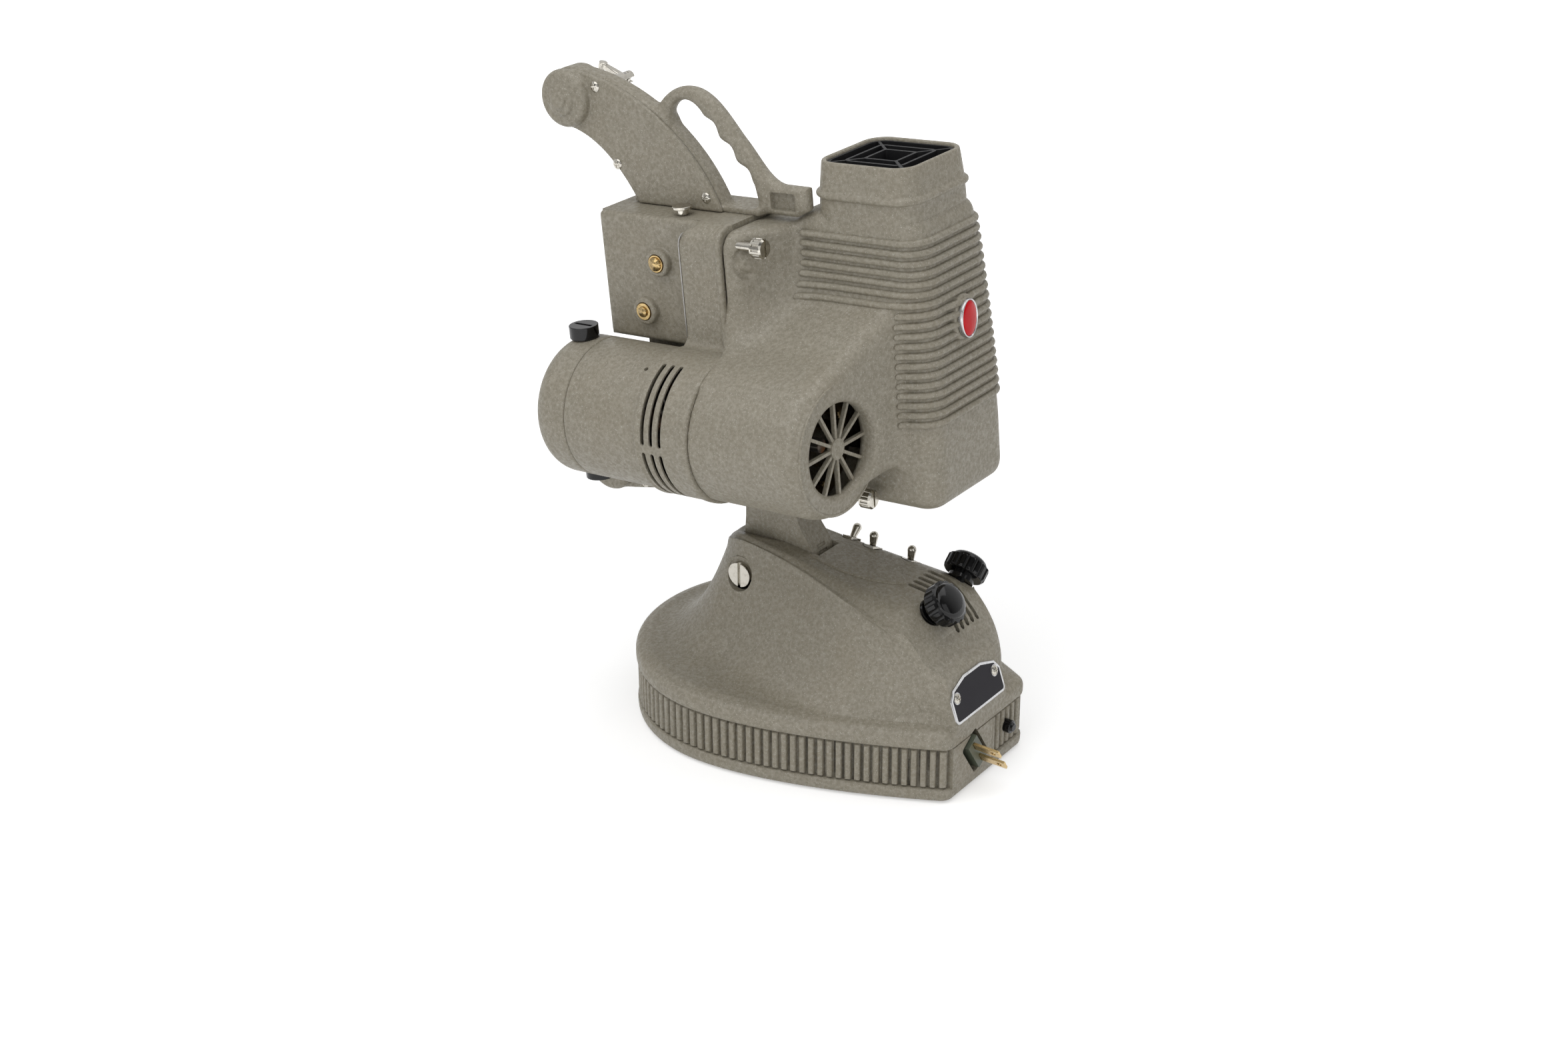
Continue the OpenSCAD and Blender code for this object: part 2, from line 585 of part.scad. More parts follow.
module gear_cover() {
    color("#6b675a") headed() difference() {
        union() {
            y_slab(cover_y, case_near_y - 0.01) polygon(concat([[case_high_x, case_step_z + 0.5],
                [case_high_x, case_top_z - 6]], arc([case_low_x + 5, case_top_z - 6], 5, 90, 180, 5),
                [[case_low_x, case_step_z + 0.5]]));
            // Raised middle that holds the belt, with a rounded front edge
            y_slab(raised_y, cover_y + 0.5) polygon(concat([[case_high_x, 250], [case_high_x, 309]],
                arc([ring_low_x + 12, 297], 12, 90, 180, 6), [[ring_low_x, 250]]));
            // Saddle down to the motor ring
            along_x([ring_low_x, 0, 0]) linear_extrude(height = case_high_x - ring_low_x)
                polygon([[-230, case_near_y - 1], [-256, case_near_y - 1], [-256, raised_y], [-251, -53],
                    [-246.3, -63], [-230, motor_y]]);
            x_rod(ring_low_x, ring_high_x, motor_y, motor_z, motor_r + 2);
            for (a = [upper_shaft, cam_axis]) y_rod(a, -43, cover_y + 1, 8);
        }
        // Flat side against the case, hole of the thumb screw, room for the motor and the belt
        span([ring_low_x - 1, case_back_y - 0.02, 150], [ring_high_x + 1, 0, case_step_z + 0.4]);
        x_rod(case_high_x - 4, case_high_x + 1, -40, 304.5, 2.5 + run_gap);
        x_rod(ring_low_x - 1, ring_high_x - 6, motor_y, motor_z, motor_r + gap);
        x_rod(ring_high_x - 3, ring_high_x + 1, motor_y, motor_z, motor_r - 1);
        x_rod(ring_low_x, ring_high_x + 1, motor_y, motor_z, 8 + run_gap);
        for (i = [0:3]) translate([ring_high_x - 8, motor_y, motor_z])
            rotate([45 + 90 * i, 0, 0]) translate([0, 0, 24]) rotate([0, 90, 0]) cylinder(h = 10, r = 9);
        span([ring_low_x + 3, raised_y + 3, 254], [case_high_x + 1, case_near_y + 1, 300]);
        for (a = [upper_shaft, cam_axis]) y_rod(a, -60, -20, 5.5);
        // Vent slots round the ring, long above and short below
        for (x = [-56, -50, -44], seg = [[111, 180], [186, 243]])
            along_x([x - vent_w / 2, motor_y, motor_z]) rotate([0, 0, seg[0] - 270])
                rotate_extrude(angle = seg[1] - seg[0]) translate([motor_r - 3, 0]) square([9, vent_w]);
    }
}
module shaft_bushes() {
    color("#b08d4a") headed() for (s = [[upper_shaft, 4], [cam_axis, 3]]) difference() {
        union() {
            y_rod(s[0], -42.2, -30, 5.4);
            y_rod(s[0], -43.6, -42.2, 5);
        }
        y_rod(s[0], -45, -20, s[1] + run_gap);
    }
}

// Reel arms and handle

// The supply arm's side view, from the case up and forward to the spindle drum
function arm_outline() = concat(bez([-53, case_top_z + 0.4], [-71, 360], [-118, 386], [-156, 389.5], 14),
    [[-156, 389.5]], bez([-163, 355.8], [-140, 352], [-124, 334], [-113, case_top_z + 0.4], 10),
    [[-113, case_top_z + 0.4]]);
// The carrying handle's outer edge, from the arm over the loop and down to the bracket
function handle_outer() = concat(bez([-104, 362], [-97, 374], [-88, 382.5], [-75, 382.5], 8),
    bez([-75, 382.5], [-58, 382.5], [-48, 364], [-38.6, 353.9], 8),
    bez([-38.6, 353.9], [-29, 343], [-24, 331.5], [-12, 331.5], 8), [[2.6, 331.5]]);
// The inner edge, with three finger hollows worked out as a wave along the grip
function handle_inner() = concat([[-31, 316]],
    [for (i = [0:18]) let (t = i / 18, b = [mix(-34, -66, t), mix(330, 367, t)],
        w = 2.6 * (1 - cos(360 * 3 * t)) / 2) b + w * [0.757, 0.653]],
    bez([-66, 367], [-72, 376.5], [-84, 378], [-89, 366], 8), [[-91, 356]]);
module supply_arm() {
    color("#6b675a") headed() difference() {
        union() {
            y_slab(case_back_y + arm_plate_t, case_back_y + arm_plate_t + arm_t) polygon(arm_outline());
            y_rod(supply_axis, case_back_y + arm_plate_t, -1, drum_r);
            y_slab(-13, -13 + handle_t) polygon(concat(handle_outer(),
                [[2.6, 318.5], [-6.5, 314], [-31, case_top_z + 0.3]],
                handle_inner()));
            y_rod(supply_axis, -2, 12, 9);
            // Foot that bolts to the case
            span([-118, case_back_y + arm_plate_t, case_top_z + 0.05], [-30, 8, case_top_z + 3]);
        }
        // Pocket in the bracket
        span([-22, -14, 317], [-6, -9, 326.5]);
        y_rod(supply_axis, -14, 20, bearing_r + run_gap);
    }
}
module supply_arm_plate() {
    color("#6b675a") headed() difference() {
        union() {
            y_slab(case_back_y, case_back_y + arm_plate_t - 0.02) polygon(arm_outline());
            y_rod(supply_axis, -24, case_back_y + arm_plate_t - 0.02, drum_r);
            y_rod(supply_axis, -28, -24, 8.5);
        }
        for (p = supply_screws) y_rod(p, -20, -14, 1.7);
    }
}
supply_screws = [[-137, 380], [-126, 336], [-63, 322]];
take_up_screws = [[-131, 138], [-119, 180]];
// The take-up arm's side view, from the case down and forward to its drum
function low_arm_outline() = concat([[-116.3, 186]],
    bez([-116.3, 186], [-124, 178], [-140, 165], [-158, 164.6], 8),
    bez([-155, 130.5], [-140, 133], [-128, 134], [-116.3, 137], 6), [[-116.3, 137]]);
module take_up_arm() {
    color("#6b675a") headed() difference() {
        union() {
            y_slab(case_back_y + arm_plate_t, case_back_y + arm_plate_t + arm_t) polygon(low_arm_outline());
            y_rod(take_up_axis, case_back_y + arm_plate_t, -1, drum_r);
            y_rod(take_up_axis, -2, 12, 9);
            span([-126, case_back_y + arm_plate_t, 158], [-116.05, 6, 184]);
        }
        y_rod(take_up_axis, -14, 20, bearing_r + run_gap);
    }
}
module take_up_arm_plate() {
    color("#6b675a") headed() difference() {
        union() {
            y_slab(case_back_y, case_back_y + arm_plate_t - 0.02) polygon(low_arm_outline());
            y_rod(take_up_axis, -24, case_back_y + arm_plate_t - 0.02, drum_r);
            y_rod(take_up_axis, -28, -24, 8.5);
        }
        for (p = take_up_screws) y_rod(p, -20, -14, 1.7);
    }
}
module arm_screws() {
    color("silver") headed() for (p = concat(supply_screws, take_up_screws)) difference() {
        union() {
            y_rod(p, case_back_y - 0.02, case_back_y + arm_plate_t - 0.1, 1.6);
            along_y([p[0], case_back_y - 0.02, p[1]]) mirror([0, 0, 1]) intersection() {
                cylinder(h = 1.5, r = 3.2);
                translate([0, 0, -3.2]) sphere(r = 4.7);
            }
        }
        span([p[0] - 0.4, -20, p[1] - 2], [p[0] + 0.4, -18.8, p[1] + 2]);
        span([p[0] - 2, -20, p[1] - 0.4], [p[0] + 2, -18.8, p[1] + 0.4]);
    }
}
// Puts a shape at a spindle's tip, its +Z outwards and its +X along the flip lever
module at_tip(axis) {
    translate([axis[0], film_y + 14, axis[1]]) rotate([-90, 0, 0]) rotate([0, 0, 201.5]) children();
}
// A reel spindle with its drive end inside the arm and a cleft for the lever
module spindle(axis) {
    difference() {
        union() {
            y_rod(axis, -12, film_y, bearing_r);
            y_rod(axis, film_y - 9, film_y + 6, spindle_r);
            y_rod(axis, film_y, film_y + 14, spindle_r - 0.2);
            y_rod(axis, 12 + gap, film_y - 8, spindle_r + 2.2);
        }
        at_tip(axis) translate([-10, -1.6, -7.6]) cube([20, 3.2, 10]);
        at_tip(axis) translate([0, -6, -4]) rotate([-90, 0, 0]) cylinder(h = 12, r = 1 + run_gap);
    }
}
// The lever that flips across a spindle's tip to keep the reel on
module latch(axis) {
    at_tip(axis) union() {
        translate([0, -1.3, -4]) rotate([-90, 0, 0]) cylinder(h = 2.6, r = 3.2);
        translate([0, -3.6, -4]) rotate([-90, 0, 0]) cylinder(h = 7.2, r = 1);
        translate([0, -1.3, -5.8]) cube([18, 2.6, 3.6]);
        translate([18, 0, -4]) rotate([90, 0, 0]) translate([0, 0, -1.9]) cylinder(h = 3.8, r = 2.6);
    }
}
module supply_spindle() {
    color("silver") headed() spindle(supply_axis);
}
module supply_latch() {
    color("silver") headed() latch(supply_axis);
}
module take_up_spindle() {
    color("silver") headed() spindle(take_up_axis);
}
module take_up_latch() {
    color("silver") headed() latch(take_up_axis);
}
module rewind_knob() {
    color("#cfc8b4") headed() translate([-72.7, -28, case_top_z]) union() {
        translate([0, 0, -7]) cylinder(h = 10, r = 2);
        translate([0, 0, 0.3]) cylinder(h = 3.4, r = 3.4);
        translate([0, 0, 3.6]) cylinder(h = 1.8, r = 5.8);
    }
}

// Motor and blower

module motor_barrel() {
    color("#6b675a") headed() difference() {
        x_rod(motor_end_x + 0.05, ring_low_x + 6, motor_y, motor_z, motor_r);
        x_rod(motor_end_x - 1, ring_low_x + 7, motor_y, motor_z, motor_r - motor_wall);
        translate([-67.1, motor_y, motor_z]) rotate([118 - 90, 0, 0]) cylinder(h = 60, r = 1.3);
    }
}
module motor_end_cap() {
    color("#6b675a") headed() difference() {
        along_x([motor_end_x - cap_l, motor_y, motor_z]) rotate_extrude() polygon(concat([[0, 0]],
            arc([motor_r - 13, 13], 13, -90, -0, 8), [[motor_r, cap_l], [0, cap_l]]));
        along_x([motor_end_x - cap_l, motor_y, motor_z]) rotate_extrude() polygon(concat([[8, motor_wall]],
            arc([motor_r - 13, 13], 13 - motor_wall, -90, 0, 8), [[motor_r - motor_wall, cap_l + 1],
            [8, cap_l + 1]]));
        x_rod(motor_end_x - 22, motor_end_x + 1, motor_y, motor_z, shaft_r + run_gap);
        translate([motor_end_x - 13, motor_y, motor_z - 60]) cylinder(h = 120, r = 6 + gap);
    }
}
module brush_caps() {
    color("#141414") headed() translate([motor_end_x - 13, motor_y, motor_z]) for (s = [0, 180])
        rotate([s, 0, 0]) translate([0, 0, motor_r]) difference() {
            union() {
                translate([0, 0, 0.1]) cylinder(h = s == 0 ? 7.5 : 5, r = 8.6);
                translate([0, 0, -12]) cylinder(h = 13, r = 6);
            }
            translate([-6, -0.9, s == 0 ? 6.1 : 3.6]) cube([12, 1.8, 3]);
        }
}
module motor_field() {
    color("#4a4a4a") headed() difference() {
        x_rod(-100, -66, motor_y, motor_z, motor_r - motor_wall - gap / 3);
        x_rod(-101, -65, motor_y, motor_z, 20.5);
        for (s = [-1, 1])
            span([-101, motor_y - 18, motor_z + s * 27 - 6], [-65, motor_y + 18, motor_z + s * 27 + 6]);
    }
}
module armature() {
    color("#8a6a3c") headed() difference() {
        union() {
            x_rod(motor_end_x - 20, blower_high_x - 12, motor_y, motor_z, shaft_r);
            x_rod(-98, -68, motor_y, motor_z, 19.8);
            x_rod(motor_end_x + 3, motor_end_x + 13, motor_y, motor_z, 11);
        }
        for (i = [0:11]) translate([-99, motor_y, motor_z]) rotate([30 * i, 0, 0]) translate([0, -1.2, 14])
            cube([32, 2.4, 8]);
    }
}
module blower_wheel() {
    color("#a08850") headed() difference() {
        union() {
            x_rod(-16, -13, motor_y, motor_z, 32);
            x_rod(-14, 20, motor_y, motor_z, 9);
            difference() {
                x_rod(28, 31, motor_y, motor_z, 34);
                x_rod(27, 32, motor_y, motor_z, 27);
            }
            for (i = [0:15]) translate([-14, motor_y, motor_z]) rotate([22.5 * i, 0, 0])
                translate([0, 2, 26]) rotate([28, 0, 0]) cube([43, 1.2, 7]);
        }
        x_rod(-20, 40, motor_y, motor_z, shaft_r + 0.02);
    }
}

// Lamp house

// Half sizes of the tower at a height: it widens from the rim down to the ribs' foot
function tower_rear(z) = tower_x + collar_w / 2 + mix(12.5, 4.8, pow(clamp((z - 190) / 128, 0, 1), 1.5));
function tower_hx(z) = (tower_rear(z) - tower_low_x) / 2;
function tower_cx(z) = tower_low_x + tower_hx(z);
function tower_hy(z) = mix(39, 33.5, clamp((z - 190) / 128, 0, 1));
// Height of the half round ribs at a height on the wall
function rib_wave(z) = let (pitch = (rib_high_z - rib_low_z) / (rib_count - 1),
    t = abs(((z - rib_low_z) / pitch + 0.5) - floor((z - rib_low_z) / pitch + 0.5) - 0.5) / 0.42)
    (z < rib_low_z - pitch / 2 || z > rib_high_z + pitch / 2 || t > 1) ? 0 : rib_h * sqrt(1 - t * t);
// Where ribs stand on the tower: on the near side, the rear and the far side. The lower
// ones begin behind the air duct on the near side.
function rib_mask(x, y, z) = (y < tower_y && x < (z > 272 ? -6 : 57)) || x < 6 ? 0 : 1;
// One ring of the tower at a height, moved outwards by o, with ribs on it
function tower_ring(z, o, ribs) = let (hx = tower_hx(z), hy = tower_hy(z), cx = tower_cx(z),
    p = round_rect(cx, tower_y, hx + o, hy + o, 14 + o), w = ribs * rib_wave(z))
    [for (q = p) let (d = [(q[0] - cx) / hx, (q[1] - tower_y) / hy], m = rib_mask(q[0], q[1], z))
        [q[0] + (abs(d[0]) > 0.8 ? sign(d[0]) * w * m : 0),
        q[1] + (abs(d[1]) > 0.8 ? sign(d[1]) * w * m : 0), z]];
// Rings of the chimney collar
function collar_ring(z, o) = [for (p = round_rect(tower_x, tower_y, collar_w / 2 + o,
    collar_w / 2 + o, 13 + o)) [p[0], p[1], z]];
rib_pitch = (rib_high_z - rib_low_z) / (rib_count - 1);
badge_z = 257;
badge_x = tower_rear(badge_z) + rib_h + 0.5;
module lamp_house() {
    color("#6b675a") headed() difference() {
        union() {
            loft(concat([tower_ring(tower_low_z, -3, 0), tower_ring(tower_low_z + 3, -0.5, 0),
                tower_ring(tower_low_z + 8, 0, 0)],
                [for (k = [0:rib_count - 1], j = [-1:1])
                    tower_ring(rib_low_z + (k + j * 0.3) * rib_pitch, 0, 1)],
                [tower_ring(rib_high_z + 6, 0, 0), tower_ring(collar_low_z - 3, -2, 0)]));
            loft([collar_ring(collar_low_z - 6, 3.5), collar_ring(328 - 1.6, 2.4), collar_ring(328, 4),
                collar_ring(328 + 1.6, 2), collar_ring(rim_z - 1, 0), collar_ring(rim_z, -0.8)]);
            // Flat boss of the badge
            along_x([badge_x - 8, tower_y, badge_z]) cylinder(h = 8, r = 13.5);
            // Lug of the lower thumb screw
            span([8, -31, 153], [24, -13, 184]);
            // Front wing against the gear case, slanting in to the tower
            translate([0, 0, 249]) linear_extrude(height = 59) polygon([[case_high_x + gap, -46],
                [case_high_x + 3, -46.5], [-10, -11], [8, -11], [8, 13], [case_high_x + gap, 13]]);
            // Snout that holds the condenser against the light tunnel
            span([case_high_x + gap, film_y - 17, optic_z - 19], [-5, film_y + 17, optic_z + 19]);
            x_rod(blower_low_x, blower_high_x - 3, motor_y, motor_z, motor_r);
            along_x([blower_high_x - 3, motor_y, motor_z]) rotate_extrude() polygon(concat([[0, 0]],
                [[motor_r, 0]], arc([motor_r - 5, 1], 5, 0, 90, 5), [[inlet_r + 4, 4], [0, 4]]));
            // Air duct from the blower up to the tower
            hull() {
                x_rod(blower_low_x, blower_high_x - 6, motor_y, motor_z, motor_r, $fn = 32);
                span([-12, -13, 205], [60, 0, 272]);
            }
            hull() {
                x_rod(10, blower_high_x - 6, motor_y + 4, motor_z - 2, motor_r - 6, $fn = 32);
                span([10, -14, 180], [66, 0, 262]);
            }
        }
        // Hollow of the tower, open at the chimney and at the light port
        loft(concat([tower_ring(tower_low_z + lamp_wall, -lamp_wall - 3, 0)],
            [for (z = [190:31:314]) tower_ring(z, -lamp_wall, 0)],
            [tower_ring(collar_low_z - 3.5, -lamp_wall - 3, 0)]));
        loft([collar_ring(collar_low_z - 8, -lamp_wall), collar_ring(rim_z + 1, -lamp_wall)]);
        // Scroll of the blower, its inlet and the way into the tower
        x_rod(blower_low_x - 1, blower_high_x - 6, motor_y, motor_z, motor_r - lamp_wall);
        x_rod(blower_high_x - 8, blower_high_x + 8, motor_y, motor_z, inlet_r);
        span([-8, motor_y, motor_z - 20], [40, -3, motor_z + 28]);
        x_rod(case_high_x - 1, 12, film_y, optic_z, 13.02);
        // Face of the badge's boss, seats of the thumb screws
        along_x([badge_x, tower_y, badge_z]) cylinder(h = 6, r = 14.2);
        x_rod(case_high_x - 3, -5, -40, 304.5, 2.5 + run_gap);
        x_rod(7, 25, -24, 160, 2.5 + run_gap);
    }
}
module inlet_grille() {
    color("#6b675a") headed() translate([blower_high_x - 4, motor_y, motor_z]) union() {
        rotate([0, 90, 0]) cylinder(h = 3, r = 6);
        for (i = [0:spoke_count - 1]) rotate([i * 360 / spoke_count, 0, 0]) translate([0, -0.9, 4])
            cube([2.4, 1.8, inlet_r - 4.06]);
    }
}
// The black chimney louver: nested square rings tied by diagonal ribs
module square_tube(h, half, t, r) {
    linear_extrude(height = h) difference() {
        polygon(round_rect(0, 0, half, half, r));
        polygon(round_rect(0, 0, half - t, half - t, r - t / 2));
    }
}
module louver() {
    color("#151515") headed() translate([tower_x, tower_y, rim_z - 16]) union() {
        square_tube(14.5, collar_w / 2 - lamp_wall - gap, 1.6, 9.6);
        square_tube(14.5, 19, 1.6, 4);
        square_tube(14.5, 11, 1.6, 2);
        for (a = [45, 135, 225, 315]) rotate([0, 0, a]) translate([13.4, -0.8, 0]) cube([21.2, 1.6, 14.5]);
    }
}
module badge() {
    color("#b3121c") headed() translate([badge_x + 0.02, tower_y, badge_z])
        rotate([90, 0, 90]) intersection() {
            translate([-8, -13, 0]) cube([16, 26, 3.2]);
            translate([12, 0, 0]) cylinder(h = 3.2, r = 20);
            translate([-12, 0, 0]) cylinder(h = 3.2, r = 20);
        }
}
module lamp_socket() {
    color("#8c8c84") headed() translate([tower_x, tower_y, 0]) difference() {
        union() {
            translate([0, 0, tower_low_z + lamp_wall + 0.05]) cylinder(h = 34, r = 19);
            translate([0, 0, 188]) cylinder(h = 14, r = 22);
        }
        translate([0, 0, 186]) cylinder(h = 30, r = 17);
    }
}
module lamp() {
    color("#dfe6ea") headed() translate([tower_x, tower_y, 0]) union() {
        translate([0, 0, 186.2]) cylinder(h = 20, r = 16.6);
        translate([0, 0, 206]) cylinder(h = 72, r = 18.5);
        translate([0, 0, 278]) sphere(r = 18.5);
    }
}
module reflector() {
    color("silver") headed() along_x([tower_x, tower_y, optic_z]) rotate_extrude() polygon(concat(
        [for (a = [0:5:40]) 30.6 * [sin(a), cos(a)]], [for (a = [40:-4:8]) 32 * [sin(a), cos(a)]],
        [for (r = [4, 0]) [r, tower_rear(optic_z) - lamp_wall - tower_x - 0.56]]));
}
module condenser() {
    color("#cfe0e6") headed() translate([-20, film_y, optic_z]) rotate([0, 90, 0]) union() {
        cylinder(h = 6, r = 13);
        translate([0, 0, 6]) intersection() {
            cylinder(h = 5, r = 13);
            translate([0, 0, -18]) sphere(r = 22.2);
        }
    }
}
// A slotted, knurled thumb screw with its head towards +X
module thumb_screw(stem, head_r) {
    difference() {
        union() {
            cylinder(h = stem + 1, r = 2.5);
            translate([0, 0, stem]) cylinder(h = 6, r = head_r);
            translate([0, 0, stem + 6]) cylinder(h = 1, r1 = head_r, r2 = head_r - 1);
        }
        for (i = [0:11]) rotate([0, 0, 30 * i]) translate([head_r + 0.2, 0, stem + 1])
            cylinder(h = 5, r = 0.7, $fn = 16);
        translate([-head_r, -0.7, stem + 5.2]) cube([2 * head_r, 1.4, 3]);
    }
}
module upper_thumb_screw() {
    color("silver") headed() along_x([case_high_x - 3, -40, 304.5]) thumb_screw(22, 5.6);
}
module lower_thumb_screw() {
    color("silver") headed() along_x([9, -24, 160]) thumb_screw(27, 5.6);
}

// Film side

module aperture_plate() {
    color("silver") headed() difference() {
        span([gate_x - 1.5, case_far_y + 0.3, optic_z - 26], [gate_x + 0.98, film_y + 12, optic_z + 26]);
        span([gate_x - 3, film_y - 2.4, optic_z - 1.8], [gate_x + 3, film_y + 2.4, optic_z + 1.8]);
        span([gate_x - 3, film_y - 4, optic_z - 30], [gate_x - 1.2, film_y + 4, optic_z + 30]);
    }
}
module pressure_plate() {
    color("#b8b8b0") headed() difference() {
        span([gate_x - 4, film_y - 7, optic_z - 18], [gate_x - 1.8, film_y + 7, optic_z + 18]);
        span([gate_x - 6, film_y - 3, optic_z - 2.5], [gate_x, film_y + 3, optic_z + 2.5]);
    }
}
module lens_holder() {
    color("#6b675a") headed() difference() {
        union() {
            x_rod(gate_x - 34, gate_x - 8, film_y, optic_z, lens_r + 3.5);
            // Foot against the case
            span([gate_x - 15, case_far_y + 0.05, optic_z - 21], [gate_x - 8, film_y - 2, optic_z + 21]);
        }
        x_rod(gate_x - 40, gate_x, film_y, optic_z, lens_r + run_gap);
    }
}
module lens_barrel() {
    color("#2a2a2a") headed() difference() {
        union() {
            x_rod(gate_x - 44, gate_x - 12, film_y, optic_z, lens_r);
            x_rod(gate_x - 48, gate_x - 40, film_y, optic_z, lens_r + 3);
        }
        x_rod(gate_x - 49, gate_x - 10, film_y, optic_z, lens_r - 2.5);
    }
}
module lens_glass() {
    color("#9fc0d8") headed() for (x = [gate_x - 45, gate_x - 24]) intersection() {
        x_rod(x, x + 5, film_y, optic_z, lens_r - 2.52);
        translate([x + 20, film_y, optic_z]) sphere(r = 20);
    }
}
// A toothed film sprocket on its shaft, with a drive gear inside the case
module sprocket(axis, near_y, gear_y) {
    union() {
        y_rod(axis, near_y, film_y + 8, 4);
        y_rod(axis, film_y - 5, film_y + 6, 8);
        for (y = [film_y - 6, film_y + 4]) y_rod(axis, y, y + 2, 9.6);
        for (i = [0:sprocket_teeth - 1]) translate([axis[0], film_y - 3.2, axis[1]])
            rotate([0, i * 360 / sprocket_teeth, 0]) translate([7.5, -0.5, -0.5]) cube([2, 1, 1]);
        y_rod(axis, gear_y, gear_y + 4, gear_r - 1.1);
        for (i = [0:gear_teeth - 1]) translate([axis[0], gear_y, axis[1]])
            rotate([0, i * 360 / gear_teeth, 0]) translate([gear_r - 1.6, 0, -0.8]) cube([2, 4, 1.6]);
    }
}
gear_teeth = 30;
pinion_teeth = 18;
gear_distance = norm(upper_shaft - cam_axis);
gear_r = gear_distance * gear_teeth / (gear_teeth + pinion_teeth);
module upper_sprocket() {
    color("#c9c9c4") headed() sprocket(upper_shaft, -44.5, -26);
}
module lower_sprocket() {
    color("#c9c9c4") headed() sprocket(lower_shaft, -12, -10);
}
module cam_shaft() {
    color("#c9c9c4") headed() union() {
        y_rod(cam_axis, -44.5, case_far_y + 0.4, 3);
        y_rod(cam_axis, -26.5, -5.5, gear_distance - gear_r - 0.7);
    }
}
module film_rollers() {
    color("#2a2a2a") headed() for (p = [[-99, 300], [-99, 216]]) union() {
        y_rod(p, film_y - 6, film_y + 6, 5);
        y_rod(p, case_far_y + 0.1, film_y - 5, 2);
    }
}

base_shell();
base_plate();
rubber_feet();
label_plate();
label_screws();
toggle_switches();
rheostat();
pivot_screw();
cord_reel();
wound_cord();
plug_body();
plug_blades();
cord_tail();
release_button();
speed_knob();
tilt_knob();
tilt_screw();
lamp_toggle();
motor_toggle();
pilot_toggle();
neck_arm();
gear_case();
gear_cover();
shaft_bushes();
supply_arm();
supply_arm_plate();
take_up_arm();
take_up_arm_plate();
arm_screws();
motor_barrel();
motor_end_cap();
brush_caps();
motor_field();
armature();
blower_wheel();
lamp_house();
inlet_grille();
louver();
badge();
lamp_socket();
lamp();
reflector();
condenser();
upper_thumb_screw();
lower_thumb_screw();
rewind_knob();
aperture_plate();
pressure_plate();
lens_holder();
lens_barrel();
lens_glass();
upper_sprocket();
lower_sprocket();
cam_shaft();
film_rollers();
supply_spindle();
supply_latch();
take_up_spindle();
take_up_latch();
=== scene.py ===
"""Looks of the home movie projector: castings, finishes, studio and camera."""
import json
import logging
import math
from dataclasses import dataclass
from enum import Enum
from typing import Callable, Dict, List, Optional, Sequence, Tuple, Union

import bmesh
import bpy
import numpy as np
from mathutils import Matrix, Vector

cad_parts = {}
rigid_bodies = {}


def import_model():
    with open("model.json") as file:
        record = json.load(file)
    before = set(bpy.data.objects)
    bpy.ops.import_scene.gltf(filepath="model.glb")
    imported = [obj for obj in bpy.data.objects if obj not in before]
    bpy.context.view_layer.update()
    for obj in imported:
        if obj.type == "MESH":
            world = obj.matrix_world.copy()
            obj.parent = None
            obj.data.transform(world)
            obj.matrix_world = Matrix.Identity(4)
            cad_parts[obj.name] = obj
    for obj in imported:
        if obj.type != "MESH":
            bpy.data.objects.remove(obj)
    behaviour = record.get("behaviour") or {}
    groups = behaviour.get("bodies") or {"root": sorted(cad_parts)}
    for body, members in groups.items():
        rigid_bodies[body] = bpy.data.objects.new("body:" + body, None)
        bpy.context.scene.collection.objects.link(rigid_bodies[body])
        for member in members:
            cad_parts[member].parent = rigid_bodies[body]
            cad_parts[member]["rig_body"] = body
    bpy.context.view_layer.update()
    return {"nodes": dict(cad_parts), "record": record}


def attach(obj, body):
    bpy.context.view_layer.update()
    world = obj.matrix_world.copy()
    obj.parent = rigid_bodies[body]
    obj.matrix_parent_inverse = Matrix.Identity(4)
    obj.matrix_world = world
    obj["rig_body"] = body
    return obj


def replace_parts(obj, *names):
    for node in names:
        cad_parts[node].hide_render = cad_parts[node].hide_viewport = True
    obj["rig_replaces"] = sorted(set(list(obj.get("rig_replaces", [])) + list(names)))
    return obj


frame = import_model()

LOG = logging.getLogger("projector")
Array = np.ndarray

# From the source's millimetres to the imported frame: the base's shift in X and Y, the tilt pin in X and Z,
# the head's lean in degrees, and the motor's axis in Y and Z of the level head
ORIGIN = (41.044, 6.5)
PIVOT = (-56.5, 95.0)
HEAD_TILT = 5.0
MOTOR_AXIS = (-60.0, 204.0)
MM = 0.001

# Share of the radius at which a cubic curve's handles make a quarter of a circle
ROUND = 0.552


def from_base(points: Array) -> Array:
    """Moves points in millimetres of the base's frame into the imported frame, in metres."""
    return (np.asarray(points, float) + [*ORIGIN, 0.0]) * MM


def from_head(points: Array) -> Array:
    """Tilts points in millimetres of the level head about the pivot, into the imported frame.

    Args:
        points: rows of x, y, z as if the head stood level.

    Returns:
        Rows of x, y, z in metres.
    """
    p = np.asarray(points, float)
    c, s = math.cos(math.radians(HEAD_TILT)), math.sin(math.radians(HEAD_TILT))
    x, z = p[..., 0] - PIVOT[0], p[..., 2] - PIVOT[1]
    out = np.stack([PIVOT[0] + c * x - s * z, p[..., 1], PIVOT[1] + s * x + c * z], axis=-1)
    return from_base(out)


def mix(a: Array, b: Array, t: Array) -> Array:
    """Value at a share t of the way from a to b."""
    return a + (b - a) * t


# Meshes


